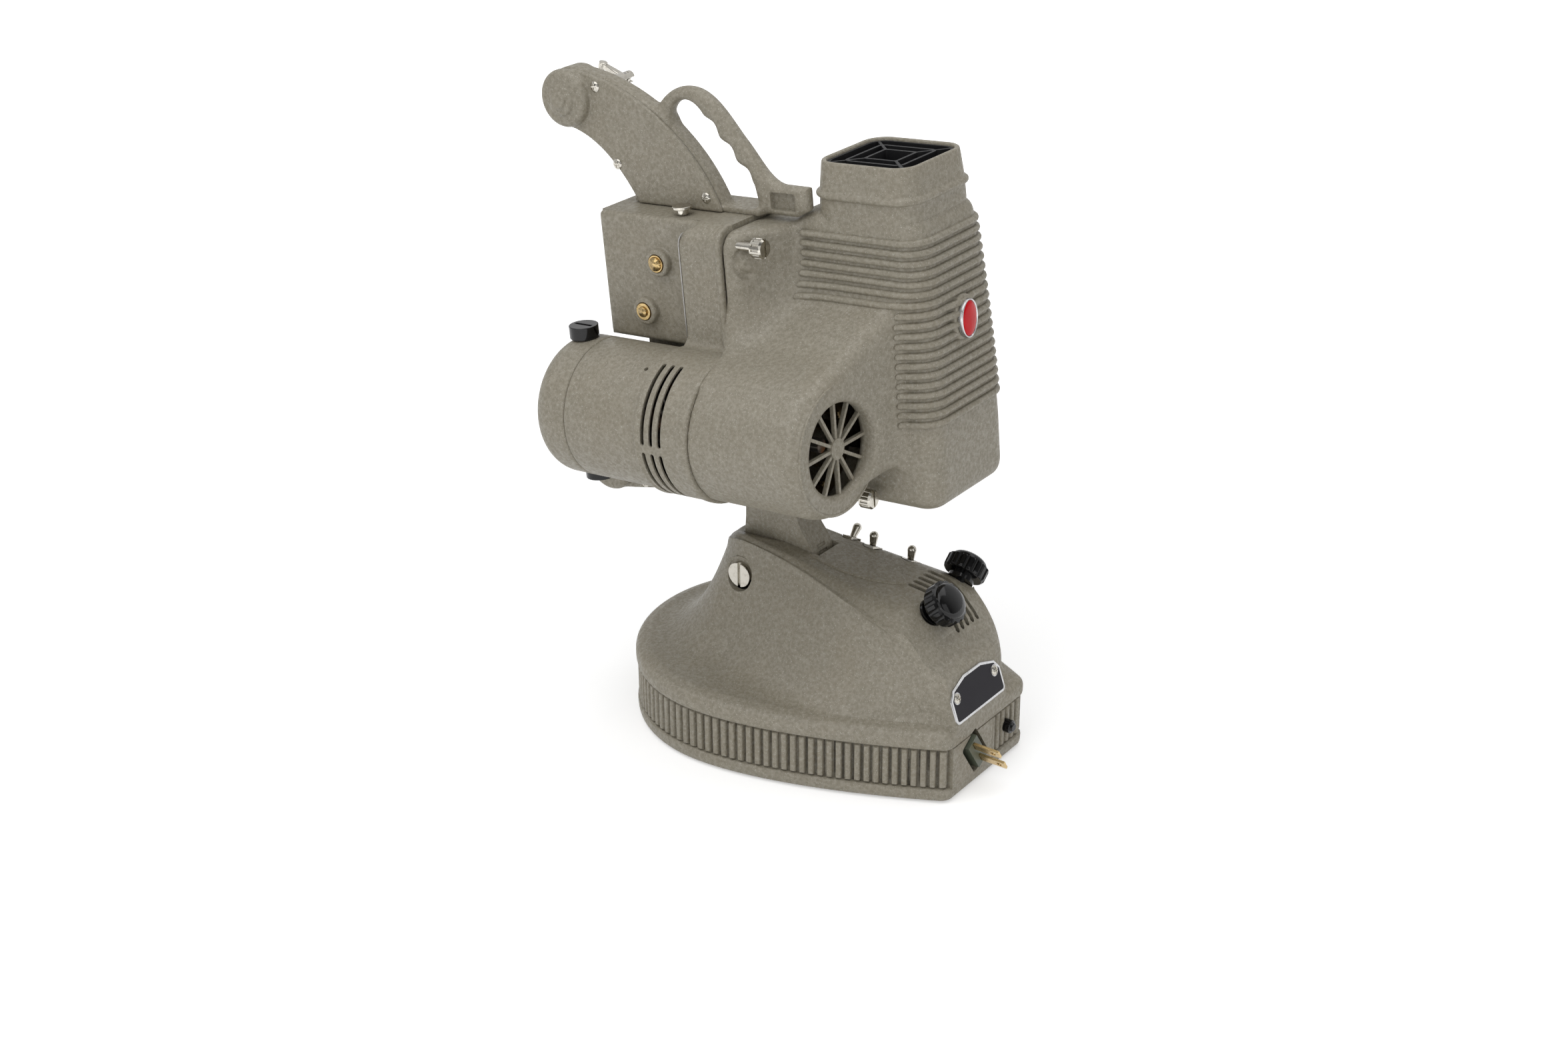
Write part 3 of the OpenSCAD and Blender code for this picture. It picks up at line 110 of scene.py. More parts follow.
def mesh_object(name: str, points: Array, faces: Array) -> bpy.types.Object:
    """Puts arrays of points and faces into a new mesh object at the origin.

    Args:
        name: name of the piece.
        points: rows of x, y, z in metres.
        faces: rows of four indices, or a list of index lists.

    Returns:
        The object, linked to the scene, with smooth faces.
    """
    mesh = bpy.data.meshes.new(name)
    mesh.from_pydata(np.asarray(points, float).tolist(), [], [list(map(int, f)) for f in faces])
    mesh.validate()
    mesh.polygons.foreach_set("use_smooth", np.ones(len(mesh.polygons), bool))
    mesh.update()
    obj = bpy.data.objects.new(name, mesh)
    bpy.context.scene.collection.objects.link(obj)
    return obj


def grid_faces(rows: int, cols: int, wrap: bool = True) -> Array:
    """Quads of a grid whose rows run round (wrap) or not; row 0 lowest, columns anticlockwise.

    Args:
        rows: how many rows.
        cols: points in a row.
        wrap: whether a row closes on itself.

    Returns:
        Rows of four indices.
    """
    r, c = np.meshgrid(np.arange(rows - 1), np.arange(cols if wrap else cols - 1), indexing="ij")
    d = (c + 1) % cols
    return np.stack([r * cols + c, r * cols + d, (r + 1) * cols + d, (r + 1) * cols + c], -1).reshape(-1, 4)


def torus_faces(n: int, m: int) -> Array:
    """Quads of a grid of n rings by m points that closes both ways.

    Args:
        n: how many rings.
        m: points in a ring.

    Returns:
        Rows of four indices.
    """
    i, j = np.meshgrid(np.arange(n), np.arange(m), indexing="ij")
    ni, nj = (i + 1) % n, (j + 1) % m
    return np.stack([i * m + j, i * m + nj, ni * m + nj, ni * m + j], -1).reshape(-1, 4)


def loft(rings: Array) -> Tuple[Array, List[List[int]]]:
    """Points and faces through rings of equal count, capped by fans to the middles of both end rings.

    Args:
        rings: array of rings by points by 3, anticlockwise seen from above.

    Returns:
        The points, and the faces as lists of indices.
    """
    rows, cols, _ = rings.shape
    points = np.concatenate([rings.reshape(-1, 3), [rings[0].mean(0), rings[-1].mean(0)]])
    k = np.arange(cols)
    n = (k + 1) % cols
    last = (rows - 1) * cols
    foot = np.stack([n, k, np.full(cols, rows * cols)], -1)
    peak = np.stack([last + k, last + n, np.full(cols, rows * cols + 1)], -1)
    return points, [*grid_faces(rows, cols).tolist(), *foot.tolist(), *peak.tolist()]


def closed_loft(name: str, rings: Array, place: Callable[[Array], Array]) -> bpy.types.Object:
    """A closed solid through rings of equal count.

    Args:
        name: name of the piece.
        rings: array of rings by points by 3.
        place: turns source millimetres into metres.

    Returns:
        The solid as an object, its faces outwards.
    """
    points, faces = loft(rings)
    obj = mesh_object(name, place(points), faces)
    turn_outwards(obj)
    return obj


def closed_band(name: str, grid: Array, place: Callable[[Array], Array]) -> bpy.types.Object:
    """A solid from rows of points that closes both along its rows and from the last row to the first.

    Args:
        name: name of the piece.
        grid: array of rows by points by 3.
        place: turns source millimetres into metres.

    Returns:
        The solid as an object, its faces outwards.
    """
    obj = mesh_object(name, place(grid.reshape(-1, 3)), torus_faces(*grid.shape[:2]))
    turn_outwards(obj)
    return obj


def lathe(name: str, profile: Sequence[Tuple[float, float]], place: Callable[[Array], Array],
          turn: Callable[[Array, Array, Array], Array], steps: int = 96) -> bpy.types.Object:
    """Turns a closed profile of (along, radius) round an axis.

    Args:
        name: name of the piece.
        profile: points along the outline; radii above 0.
        place: turns source millimetres into metres.
        turn: maps along, radius and angle to rows of x, y, z.
        steps: how many facets go round.

    Returns:
        The ring as an object; the profile closes on itself.
    """
    p = np.asarray(profile, float)
    angle = np.linspace(0, 2 * np.pi, steps, endpoint=False)
    a, t = np.meshgrid(p[:, 0], angle, indexing="ij")
    r = np.repeat(p[:, 1:2], steps, 1)
    return closed_band(name, turn(a, r, t), place)


def turn_outwards(obj: bpy.types.Object) -> None:
    """Recalculates a closed mesh's faces so that they point outwards.

    Args:
        obj: the piece, closed.
    """
    work = bmesh.new()
    work.from_mesh(obj.data)
    bmesh.ops.recalc_face_normals(work, faces=work.faces)
    work.to_mesh(obj.data)
    work.free()


def soft_edges(obj: bpy.types.Object, degrees: float = 32.0) -> None:
    """Shades a mesh smooth with creases where its faces meet at more than an angle."""
    obj.data.polygons.foreach_set("use_smooth", np.ones(len(obj.data.polygons), bool))
    obj.data.set_sharp_from_angle(angle=math.radians(degrees))


def carve(obj: bpy.types.Object, cutters: Sequence[bpy.types.Object], join: bool = False) -> None:
    """Cuts closed solids out of a closed solid, or joins them on to it, and drops them.

    Args:
        obj: the solid that is changed.
        cutters: the solids to take away or to add.
        join: whether they are added.
    """
    for cutter in cutters:
        step = obj.modifiers.new("carve", "BOOLEAN")
        step.operation = "UNION" if join else "DIFFERENCE"
        step.solver = "MANIFOLD"
        step.object = cutter
    bpy.context.view_layer.update()
    depsgraph = bpy.context.evaluated_depsgraph_get()
    mesh = bpy.data.meshes.new_from_object(obj.evaluated_get(depsgraph))
    old = obj.data
    obj.modifiers.clear()
    obj.data = mesh
    bpy.data.meshes.remove(old)
    for cutter in cutters:
        bpy.data.objects.remove(cutter, do_unlink=True)


# Distance fields: a casting's form as one formula, with fillets where its masses meet


def smooth_least(a: Array, b: Array, k: float) -> Array:
    """Least of two distances, rounded over k millimetres, which fillets the join."""
    h = np.clip(0.5 + 0.5 * (b - a) / k, 0, 1)
    return b + (a - b) * h - k * h * (1 - h)


def smooth_most(a: Array, b: Array, k: float) -> Array:
    """Greatest of two distances, rounded over k millimetres, which rounds the edge."""
    return -smooth_least(-a, -b, k)


def round_box(x: Array, y: Array, hx: Array, hy: Array, r: Array) -> Array:
    """Distance to a rounded rectangle about the origin, half sizes hx and hy."""
    qx, qy = np.abs(x) - hx + r, np.abs(y) - hy + r
    return np.hypot(np.maximum(qx, 0), np.maximum(qy, 0)) + np.minimum(np.maximum(qx, qy), 0) - r


def block(p: Tuple[Array, Array, Array], low: Sequence[float], high: Sequence[float], r: float) -> Array:
    """Distance to a box between two corners with edges rounded by r.

    Args:
        p: arrays of x, y and z.
        low: lowest corner.
        high: highest corner.
        r: radius of the edges.

    Returns:
        The distance, negative inside.
    """
    q = [np.abs(p[i] - (low[i] + high[i]) / 2) - (high[i] - low[i]) / 2 + r for i in range(3)]
    outside = np.sqrt(sum(np.maximum(v, 0) ** 2 for v in q))
    return outside + np.minimum(np.maximum(np.maximum(q[0], q[1]), q[2]), 0) - r


def rod(across: Array, along: Array, low: float, high: float, radius: float, r: float) -> Array:
    """Distance to a cylinder with rounded rims, from how far across and along its axis a point is."""
    qx, qy = across - radius + r, np.abs(along - (low + high) / 2) - (high - low) / 2 + r
    return np.hypot(np.maximum(qx, 0), np.maximum(qy, 0)) + np.minimum(np.maximum(qx, qy), 0) - r


def net_surface(name: str, field_of: Callable[[Array, Array, Array], Array], low: Sequence[float],
                high: Sequence[float], step: Sequence[float],
                place: Callable[[Array], Array]) -> bpy.types.Object:
    """Meshes the zero surface of a distance field with one point in each cell that it crosses.

    Each point starts at the mean of the crossings on its cell's edges and is then moved along
    the field's gradient on to the surface. Four cells round a crossed edge make a quad.

    Args:
        name: name of the piece.
        field_of: the distance, negative inside, of arrays of x, y and z.
        low: lowest corner of the grid in millimetres.
        high: highest corner.
        step: size of a cell each way.
        place: turns source millimetres into metres.

    Returns:
        The closed surface as an object.
    """
    axes = [np.arange(low[i], high[i] + step[i], step[i]) for i in range(3)]
    shape = tuple(len(a) for a in axes)
    f = np.empty(shape, np.float32)
    for start in range(0, shape[0], 12):
        grid = np.meshgrid(axes[0][start:start + 12], axes[1], axes[2], indexing="ij")
        f[start:start + 12] = field_of(*grid)
    inside = f < 0
    cells = tuple(n - 1 for n in shape)
    total = np.zeros(cells, np.int8)
    corners = [(i, j, k) for i in (0, 1) for j in (0, 1) for k in (0, 1)]
    for i, j, k in corners:
        total += inside[i:i + cells[0], j:j + cells[1], k:k + cells[2]]
    active = (total > 0) & (total < 8)
    number = np.full(cells, -1, np.int64)
    count = int(active.sum())
    number[active] = np.arange(count)
    base = np.argwhere(active)
    summed, hits = np.zeros((count, 3)), np.zeros(count)
    for a, b in [(c, d) for c in corners for d in corners if c < d and sum(np.abs(np.subtract(c, d))) == 1]:
        fa, fb = f[tuple((base + a).T)].astype(float), f[tuple((base + b).T)].astype(float)
        cross = (fa < 0) != (fb < 0)
        t = np.where(cross, fa / np.where(cross, fa - fb, 1.0), 0.0)
        at = np.array(a) + t[:, None] * (np.array(b) - np.array(a))
        summed += np.where(cross[:, None], at, 0.0)
        hits += cross
    points = np.array([a[0] for a in axes]) + (base + summed / hits[:, None]) * np.array(step)
    reach = min(step) * 0.45
    for _ in range(3):
        value = field_of(*points.T)
        e = 0.05
        slope = np.stack([field_of(*(points + e * np.eye(3)[i]).T) - field_of(*(points - e * np.eye(3)[i]).T)
                          for i in range(3)], -1) / (2 * e)
        move = -value[:, None] * slope / np.maximum((slope ** 2).sum(-1, keepdims=True), 0.2)
        length = np.linalg.norm(move, axis=-1, keepdims=True)
        points += move * np.minimum(1.0, reach / np.maximum(length, 1e-9))
    faces: List[Array] = []
    for axis in range(3):
        u, v = [(1, 2), (2, 0), (0, 1)][axis]
        first = [slice(None)] * 3
        second = [slice(None)] * 3
        first[axis], second[axis] = slice(0, -1), slice(1, None)
        for s in (first, second):
            s[u], s[v] = slice(1, -1), slice(1, -1)
        one, two = inside[tuple(first)], inside[tuple(second)]
        crossed = np.argwhere(one != two)
        offset = np.zeros(3, int)
        offset[u] = offset[v] = 1
        at = crossed + offset
        out = one[tuple(crossed.T)]
        shift_u, shift_v = np.eye(3, dtype=int)[u], np.eye(3, dtype=int)[v]
        around = ((1, 1), (0, 1), (0, 0), (1, 0))
        quad = np.stack([number[tuple((at - du * shift_u - dv * shift_v).T)] for du, dv in around], -1)
        faces.append(np.where(out[:, None], quad, quad[:, ::-1]))
    return mesh_object(name, place(points), np.concatenate(faces))


# Outlines


def curve(p0: Sequence[float], p1: Sequence[float], p2: Sequence[float], p3: Sequence[float],
          n: int) -> Array:
    """Points along the cubic curve that four handles give, without its last point.

    Args:
        p0: where it starts.
        p1: handle it leaves towards.
        p2: handle it arrives from.
        p3: where it ends.
        n: how many points.

    Returns:
        Rows of as many coordinates as a handle has.
    """
    t = np.arange(n)[:, None] / n
    a, b, c, d = (np.asarray(p, float) for p in (p0, p1, p2, p3))
    return (1 - t) ** 3 * a + 3 * (1 - t) ** 2 * t * b + 3 * (1 - t) * t ** 2 * c + t ** 3 * d


def arc(centre: Sequence[float], r: float, start: float, stop: float, n: int) -> Array:
    """Points of an arc between two angles in degrees, both ends included."""
    q = np.radians(np.linspace(start, stop, n + 1))
    return np.stack([centre[0] + r * np.cos(q), centre[1] + r * np.sin(q)], -1)


def round_rect(cx: float, cy: float, hx: float, hy: float, r: float, n: int = 12) -> Array:
    """A rounded rectangle anticlockwise from its near rear corner.

    Args:
        cx: its middle.
        cy: its middle, second coordinate.
        hx: half size.
        hy: half size, second coordinate.
        r: radius of the corners.
        n: steps in a corner.

    Returns:
        Rows of two coordinates.
    """
    middles = ((cx + hx - r, cy - hy + r), (cx + hx - r, cy + hy - r), (cx - hx + r, cy + hy - r),
               (cx - hx + r, cy - hy + r))
    return np.concatenate([arc(at, r, start, start + 90, n) for at, start in zip(middles, (-90, 0, 90, 180))])


class Outline:
    """Signed distance to a closed outline in X and Z, read from a table worked out once."""

    def __init__(self, points: Array, margin: float = 14.0, step: float = 0.8) -> None:
        """Fills the table: least distance to any side, negative where a ray crosses an odd count of sides.

        Args:
            points: rows of x and z, closed.
            margin: how far the table goes past the outline.
            step: size of its cells.
        """
        p = np.asarray(points, float)
        self.low, self.step = p.min(0) - margin, step
        n = np.ceil((p.max(0) + margin - self.low) / step).astype(int) + 1
        x, z = np.meshgrid(*(self.low[i] + step * np.arange(n[i]) for i in (0, 1)), indexing="ij")
        side = np.roll(p, -1, 0) - p
        dx, dz = x[..., None] - p[:, 0], z[..., None] - p[:, 1]
        t = np.clip((dx * side[:, 0] + dz * side[:, 1]) / np.maximum((side ** 2).sum(1), 1e-9), 0, 1)
        near = np.hypot(dx - t * side[:, 0], dz - t * side[:, 1]).min(-1)
        across = (dz < 0) != (dz - side[:, 1] < 0)
        level = np.abs(side[:, 1]) < 1e-9
        slope = np.where(level, 0.0, side[:, 0] / np.where(level, 1.0, side[:, 1]))
        inside = (across & (dx < dz * slope)).sum(-1) % 2 == 1
        self.table = np.where(inside, -near, near)

    def far(self, x: Array, z: Array) -> Array:
        """Distance at points, mixed from the table's four nearest places.

        Args:
            x: rearwards.
            z: upwards.

        Returns:
            The distance, negative inside.
        """
        u = np.clip((x - self.low[0]) / self.step, 0, self.table.shape[0] - 1.001)
        v = np.clip((z - self.low[1]) / self.step, 0, self.table.shape[1] - 1.001)
        i, j = u.astype(int), v.astype(int)
        f, g = u - i, v - j
        t = self.table
        return mix(mix(t[i, j], t[i + 1, j], f), mix(t[i, j + 1], t[i + 1, j + 1], f), g)


def round_corner(y: Array, z: Array, near: float, top: float, r: float) -> Array:
    """Distance to what lies beyond y = near and under z = top, with the corner between them rounded by r."""
    u, v = near + r - y, z - top + r
    return np.hypot(np.maximum(u, 0), np.maximum(v, 0)) + np.minimum(np.maximum(u, v), 0) - r


def slab(flat: Array, y: Array, low: float, high: float, k: float) -> Array:
    """Distance to a flat outline given a thickness across Y, its edges rounded over k."""
    return smooth_most(flat, np.abs(y - (low + high) / 2) - (high - low) / 2, k)


# Solids on outlines and along paths


def prism(name: str, outline: Array, low: float, high: float, place: Callable[[Array], Array],
          turn: Callable[[Array], Array]) -> bpy.types.Object:
    """A straight solid on a closed outline.

    Args:
        name: name of the solid.
        outline: rows of two coordinates, anticlockwise seen from the high end.
        low: where it starts along its axis.
        high: where it ends.
        place: turns source millimetres into metres.
        turn: maps rows of the outline's two coordinates and the height to rows of x, y, z.

    Returns:
        The closed solid.
    """
    rings = [turn(np.column_stack([outline, np.full(len(outline), h)])) for h in (low, high)]
    return closed_loft(name, np.stack(rings), place)


def along_x_axis(y: float, z: float) -> Callable[[Array], Array]:
    """Maps an outline and a height to a solid along X about a line."""
    return lambda q: np.column_stack([q[:, 2], q[:, 0] + y, q[:, 1] + z])


def along_y_axis(x: float, z: float) -> Callable[[Array], Array]:
    """Maps an outline and a height to a solid along Y about a line."""
    return lambda q: np.column_stack([q[:, 0] + x, q[:, 2], q[:, 1] + z])


def leaning(at: Sequence[float], axis: str, degrees: float) -> Callable[[Array], Array]:
    """Maps an outline and a height to a solid whose upright is turned about X or Y at a place."""
    turned = np.array(Matrix.Rotation(math.radians(degrees), 3, axis))
    return lambda q: q @ turned.T + np.asarray(at, float)


def disc(r: float, n: int = 48) -> Array:
    """A circle's outline."""
    return arc((0, 0), r, 0, 360, n)[:-1]


def box(name: str, low: Sequence[float], high: Sequence[float],
        place: Callable[[Array], Array]) -> bpy.types.Object:
    """A plain box between two corners, used to cut."""
    flat = np.array([[low[0], low[1]], [high[0], low[1]], [high[0], high[1]], [low[0], high[1]]], float)
    return prism(name, flat, low[2], high[2], place, lambda q: q)


def path_bar(points: Array, outwards: Array, wide: float, high: float, sunk: float = 0.15,
             sides: int = 12) -> Array:
    """Rings of a half-sunk rounded bar along a level path.

    Each ring is an ellipse of half height wide and reach high, shrunk to nothing at both ends
    as the root of 1 minus the square of how far into the end it is.

    Args:
        points: rows of x, y, z along the path.
        outwards: the wall's outward direction at each point.
        wide: half height of the bar.
        high: how far it stands out.
        sunk: how far the whole bar is let into the wall.
        sides: points round it.

    Returns:
        Rings by sides by three.
    """
    run = np.concatenate([[0], np.cumsum(np.linalg.norm(np.diff(points, axis=0), axis=1))])
    end = np.minimum(run, run[-1] - run) / wide
    scale = np.sqrt(np.clip(1 - (1 - np.clip(end, 0, 1)) ** 2, 0.0004, 1))[:, None]
    q = np.linspace(0, 2 * np.pi, sides, endpoint=False)
    reach = scale * (high * np.cos(q)) - sunk
    rise = np.array([0, 0, 1]) * (scale * wide * np.sin(q))[..., None]
    return points[:, None] + outwards[:, None] * reach[..., None] + rise


def tube(name: str, points: Array, radius: float, sides: int,
         place: Callable[[Array], Array]) -> bpy.types.Object:
    """A closed tube through points, tapering to a point over its first and last tenth.

    Args:
        name: name of the piece.
        points: rows of x, y, z along its middle.
        radius: its thickest.
        sides: points round it.
        place: turns source millimetres into metres.

    Returns:
        The tube as an object.
    """
    along = np.gradient(points, axis=0)
    along /= np.linalg.norm(along, axis=1, keepdims=True)
    side = np.cross(along, np.array([0.31, 0.9, 0.3]))
    side /= np.linalg.norm(side, axis=1, keepdims=True)
    other = np.cross(along, side)
    t = np.linspace(0, 1, len(points))
    thick = (radius * np.clip(np.minimum(t, 1 - t) * 10, 0.05, 1))[:, None, None]
    q = np.linspace(0, 2 * np.pi, sides, endpoint=False)[None, :, None]
    rings = points[:, None] + thick * (side[:, None] * np.cos(q) + other[:, None] * np.sin(q))
    return closed_loft(name, rings, place)


def resample(points: Array, step: float, ends: float) -> Array:
    """Places points along an open path at about a step, and closer near its ends.

    Args:
        points: rows along the path.
        step: distance in its middle.
        ends: length of the closer stretch at each end.

    Returns:
        The new rows.
    """
    run = np.concatenate([[0], np.cumsum(np.linalg.norm(np.diff(points, axis=0), axis=1))])
    length = run[-1]
    tip = ends * (1 - np.cos(np.linspace(0, np.pi / 2, 7)))
    middle = np.linspace(ends, length - ends, max(int((length - 2 * ends) / step), 2) + 1)[1:-1]
    s = np.concatenate([tip, middle, length - tip[::-1]])
    return np.stack([np.interp(s, run, points[:, i]) for i in range(points.shape[1])], -1)


# Shader maths


class Sock:
    """A shader value that Python's operators work on, adding Math nodes."""

    def __init__(self, book: "Book", socket: bpy.types.NodeSocket) -> None:
        """Keeps the material under construction and the output socket."""
        self.book, self.socket = book, socket

    def _math(self, op: str, other: object) -> "Sock":
        """Adds one Math node on this value and another."""
        return self.book.node("ShaderNodeMath", {"operation": op}, {0: self, 1: other})

    def __add__(self, o: object) -> "Sock":
        """Sum."""
        return self._math("ADD", o)

    def __mul__(self, o: object) -> "Sock":
        """Product."""
        return self._math("MULTIPLY", o)

    def fit(self, a: float, b: float, c: float = 0.0, d: float = 1.0) -> "Sock":
        """Maps the range a to b on to c to d, held at its ends."""
        return self.book.node("ShaderNodeMapRange", {"clamp": True},
                              {"Value": self, "From Min": a, "From Max": b, "To Min": c, "To Max": d})


class Book:
    """One material under construction."""

    def __init__(self, name: str) -> None:
        """Starts a material with a Principled shader.

        Args:
            name: name of the material.
        """
        self.material = bpy.data.materials.new(name)
        self.material.use_nodes = True
        self.tree = self.material.node_tree
        self.tree.nodes.clear()
        self.out = self.tree.nodes.new("ShaderNodeOutputMaterial")
        self.bsdf = self.tree.nodes.new("ShaderNodeBsdfPrincipled")
        self.tree.links.new(self.bsdf.outputs[0], self.out.inputs["Surface"])
        coords = self.tree.nodes.new("ShaderNodeTexCoord")
        self.place = Sock(self, coords.outputs["Object"])

    def set(self, inputs: Dict[str, object]) -> None:
        """Sets or links the Principled shader's inputs."""
        for key, value in inputs.items():
            self._feed(self.bsdf.inputs[key], value)

    def _feed(self, socket: bpy.types.NodeSocket, value: object) -> None:
        """Links a value to a socket, or writes it there.

        Args:
            socket: the input.
            value: a Sock, a colour or a number.
        """
        if isinstance(value, Sock):
            self.tree.links.new(value.socket, socket)
        elif isinstance(value, (tuple, list)):
            want = len(socket.default_value)
            socket.default_value = tuple(value)[:want] + (1.0,) * (want - len(value))
        else:
            socket.default_value = value

    def node(self, kind: str, settings: Dict[str, object], inputs: Dict[object, object],
             output: Union[int, str] = 0) -> Sock:
        """Adds a node, its settings first, and returns one of its outputs.

        Args:
            kind: the node's type.
            settings: properties of the node.
            inputs: values or links, by name or index.
            output: which output is returned.

        Returns:
            The output as a value.
        """
        n = self.tree.nodes.new(kind)
        for key, value in settings.items():
            setattr(n, key, value)
        for key, value in inputs.items():
            self._feed(n.inputs[key], value)
        return Sock(self, n.outputs[output])

    def noise(self, scale: float, detail: float = 2.0, rough: float = 0.5, warp: float = 0.0) -> Sock:
        """Noise at a scale in cells per metre."""
        return self.node("ShaderNodeTexNoise", {}, {"Vector": self.place, "Scale": scale, "Detail": detail,
                                                    "Roughness": rough, "Distortion": warp})

    def blend(self, factor: object, a: object, b: object) -> Sock:
        """Mixes two colours.

        Args:
            factor: share of the second.
            a: first colour.
            b: second colour.

        Returns:
            The mixed colour.
        """
        n = self.tree.nodes.new("ShaderNodeMix")
        n.data_type = "RGBA"
        self._feed(n.inputs[0], factor)
        self._feed(n.inputs[6], a)
        self._feed(n.inputs[7], b)
        return Sock(self, n.outputs[2])

    def bump(self, height: Sock, strength: float, distance: float) -> Sock:
        """Turns a height into a normal; distance in metres."""
        return self.node("ShaderNodeBump", {}, {"Strength": strength, "Distance": distance, "Height": height})

    def along(self, axis: int) -> Sock:
        """Place along one axis, in metres."""
        return self.node("ShaderNodeSeparateXYZ", {}, {0: self.place}, axis)


Colour = Tuple[float, float, float]


def written(r: int, g: int, b: int) -> Colour:
    """Linear colour of an 8 bit screen colour."""
    return tuple(((v / 255 + 0.055) / 1.055) ** 2.4 if v > 10 else v / 255 / 12.92 for v in (r, g, b))


@dataclass(frozen=True)
class WrinkleEnamel:
    """Baked wrinkle enamel: a fine peel of soft grains with painted shade between them, painted glints and
    dust.
    """

    name: str = "wrinkle enamel"
    crest: Colour = written(150, 144, 130)
    # painted shade: a darker copy of the paint's colour, given to the hollows between grains
    hollow: Colour = written(131, 125, 110)
    # painted highlight: pale specks of colour that stand for small glints of light
    painted_glint: Colour = written(205, 203, 194)
    dust: Colour = written(138, 124, 98)
    grain: float = 720.0
    depth: float = 0.00034

    def make(self) -> bpy.types.Material:
        """Builds the material."""
        b = Book(self.name)
        peel = b.noise(self.grain, 1.6, 0.5, 0.45)
        cells = b.node("ShaderNodeTexVoronoi", {"feature": "SMOOTH_F1"},
                       {"Vector": b.place, "Scale": self.grain * 0.62, "Smoothness": 0.6}, "Distance")
        height = peel * 0.62 + cells * 0.5
        crest = height.fit(0.4, 0.78)
        # painted highlight mask: where the pale glint specks go
        painted_glint_mask = b.noise(self.grain * 2.2, 1.0, 0.5).fit(0.64, 0.71)
        worn = b.noise(24.0, 3.0, 0.6).fit(0.45, 0.75)
        # painted shade: the colour darkens from crest to hollow with the bump's height
        paint = b.blend(crest, self.hollow, self.crest)
        soiled = b.blend(worn * 0.12, paint, self.dust)
        # painted highlight: pale glint specks mixed into the colour
        colour = b.blend(painted_glint_mask * 0.4, soiled, self.painted_glint)
        b.set({"Base Color": colour, "Roughness": crest.fit(0, 1, 0.56, 0.4),
               "Normal": b.bump(height, 0.85, self.depth)})
        return b.material


@dataclass(frozen=True)
class Plated:
    """Plated or bare metal with fine rubbing marks and a little tarnish."""

    name: str
    colour: Colour
    tarnish: Colour
    rough: float = 0.16
    metallic: float = 1.0

    def make(self) -> bpy.types.Material:
        """Builds the material."""
        b = Book(self.name)
        spots = b.noise(340.0, 4.0, 0.62).fit(0.5, 0.78)
        marks = b.noise(1500.0, 2.0, 0.5, 0.4)
        colour = b.blend(spots * 0.55, self.colour, self.tarnish)
        b.set({"Base Color": colour, "Metallic": self.metallic,
               "Roughness": marks * 0.12 + spots * 0.16 + (self.rough - 0.05),
               "Normal": b.bump(marks, 0.1, 0.00004)})
        return b.material


@dataclass(frozen=True)
class Moulded:
    """Moulded plastic or rubber: even colour, slight haze, faint handling marks."""

    name: str
    colour: Colour
    rough: float = 0.12
    shine: float = 0.5
    haze: float = 0.1

    def make(self) -> bpy.types.Material:
        """Builds the material."""
        b = Book(self.name)
        smear = b.noise(95.0, 4.0, 0.6, 0.3).fit(0.35, 0.75)
        fine = b.noise(900.0, 2.0, 0.5)
        pale = tuple(min(1.0, c * 1.3 + 0.006) for c in self.colour)
        b.set({"Base Color": b.blend(smear * 0.5, self.colour, pale),
               "Roughness": smear * self.haze + self.rough, "Specular IOR Level": self.shine,
               "Normal": b.bump(fine, 0.06, 0.00003)})
        return b.material


@dataclass(frozen=True)
class BrassEnded:
    """A nickel sprocket whose shaft ends in brass on the near side."""

    name: str = "nickel with brass end"
    brass_y: float = -0.026

    def make(self) -> bpy.types.Material:
        """Builds the material."""
        b = Book(self.name)
        spots = b.noise(600.0, 4.0, 0.6).fit(0.4, 0.75)
        near = b.along(1).fit(self.brass_y - 0.0004, self.brass_y, 1.0, 0.0)
        metal = b.blend(near, (0.62, 0.59, 0.53), (0.6, 0.44, 0.21))
        b.set({"Base Color": b.blend(spots * 0.6, metal, (0.2, 0.13, 0.06)), "Metallic": 1.0,
               "Roughness": spots.fit(0, 1, 0.22, 0.45), "Normal": b.bump(spots, 0.2, 0.00006)})
        return b.material


@dataclass(frozen=True)
class BlackPaint:
    """Matt black paint with worn, paler patches."""

    name: str = "matt black"

    def make(self) -> bpy.types.Material:
        """Builds the material."""
        b = Book(self.name)
        grain = b.noise(700.0, 3.0, 0.6)
        worn = b.noise(120.0, 4.0, 0.65).fit(0.55, 0.8)
        b.set({"Base Color": b.blend(worn * 0.3, (0.012, 0.012, 0.013), (0.05, 0.049, 0.046)),
               "Roughness": grain.fit(0.3, 0.7, 0.42, 0.62), "Specular IOR Level": 0.35,
               "Normal": b.bump(grain, 0.3, 0.0001)})
        return b.material


@dataclass(frozen=True)
class Coils:
    """Copper windings between steel sheets, by place along the axis."""

    name: str = "rotor steel"

    def make(self) -> bpy.types.Material:
        """Builds the material."""
        b = Book(self.name)
        sheets = b.node("ShaderNodeTexWave", {"bands_direction": "X"}, {"Vector": b.place, "Scale": 320.0})
        tint = b.noise(60.0, 2.0).fit(0.4, 0.6)
        b.set({"Base Color": b.blend(tint, (0.2, 0.19, 0.17), (0.3, 0.14, 0.06)), "Metallic": 0.9,
               "Roughness": sheets.fit(0, 1, 0.4, 0.6), "Normal": b.bump(sheets, 0.3, 0.0001)})
        return b.material


@dataclass(frozen=True)
class Glass:
    """Clear glass."""

    name: str = "clear glass"

    def make(self) -> bpy.types.Material:
        """Builds the material."""
        b = Book(self.name)
        b.set({"Base Color": (0.93, 0.96, 0.97), "Roughness": 0.03, "IOR": 1.5, "Transmission Weight": 0.92})
        return b.material


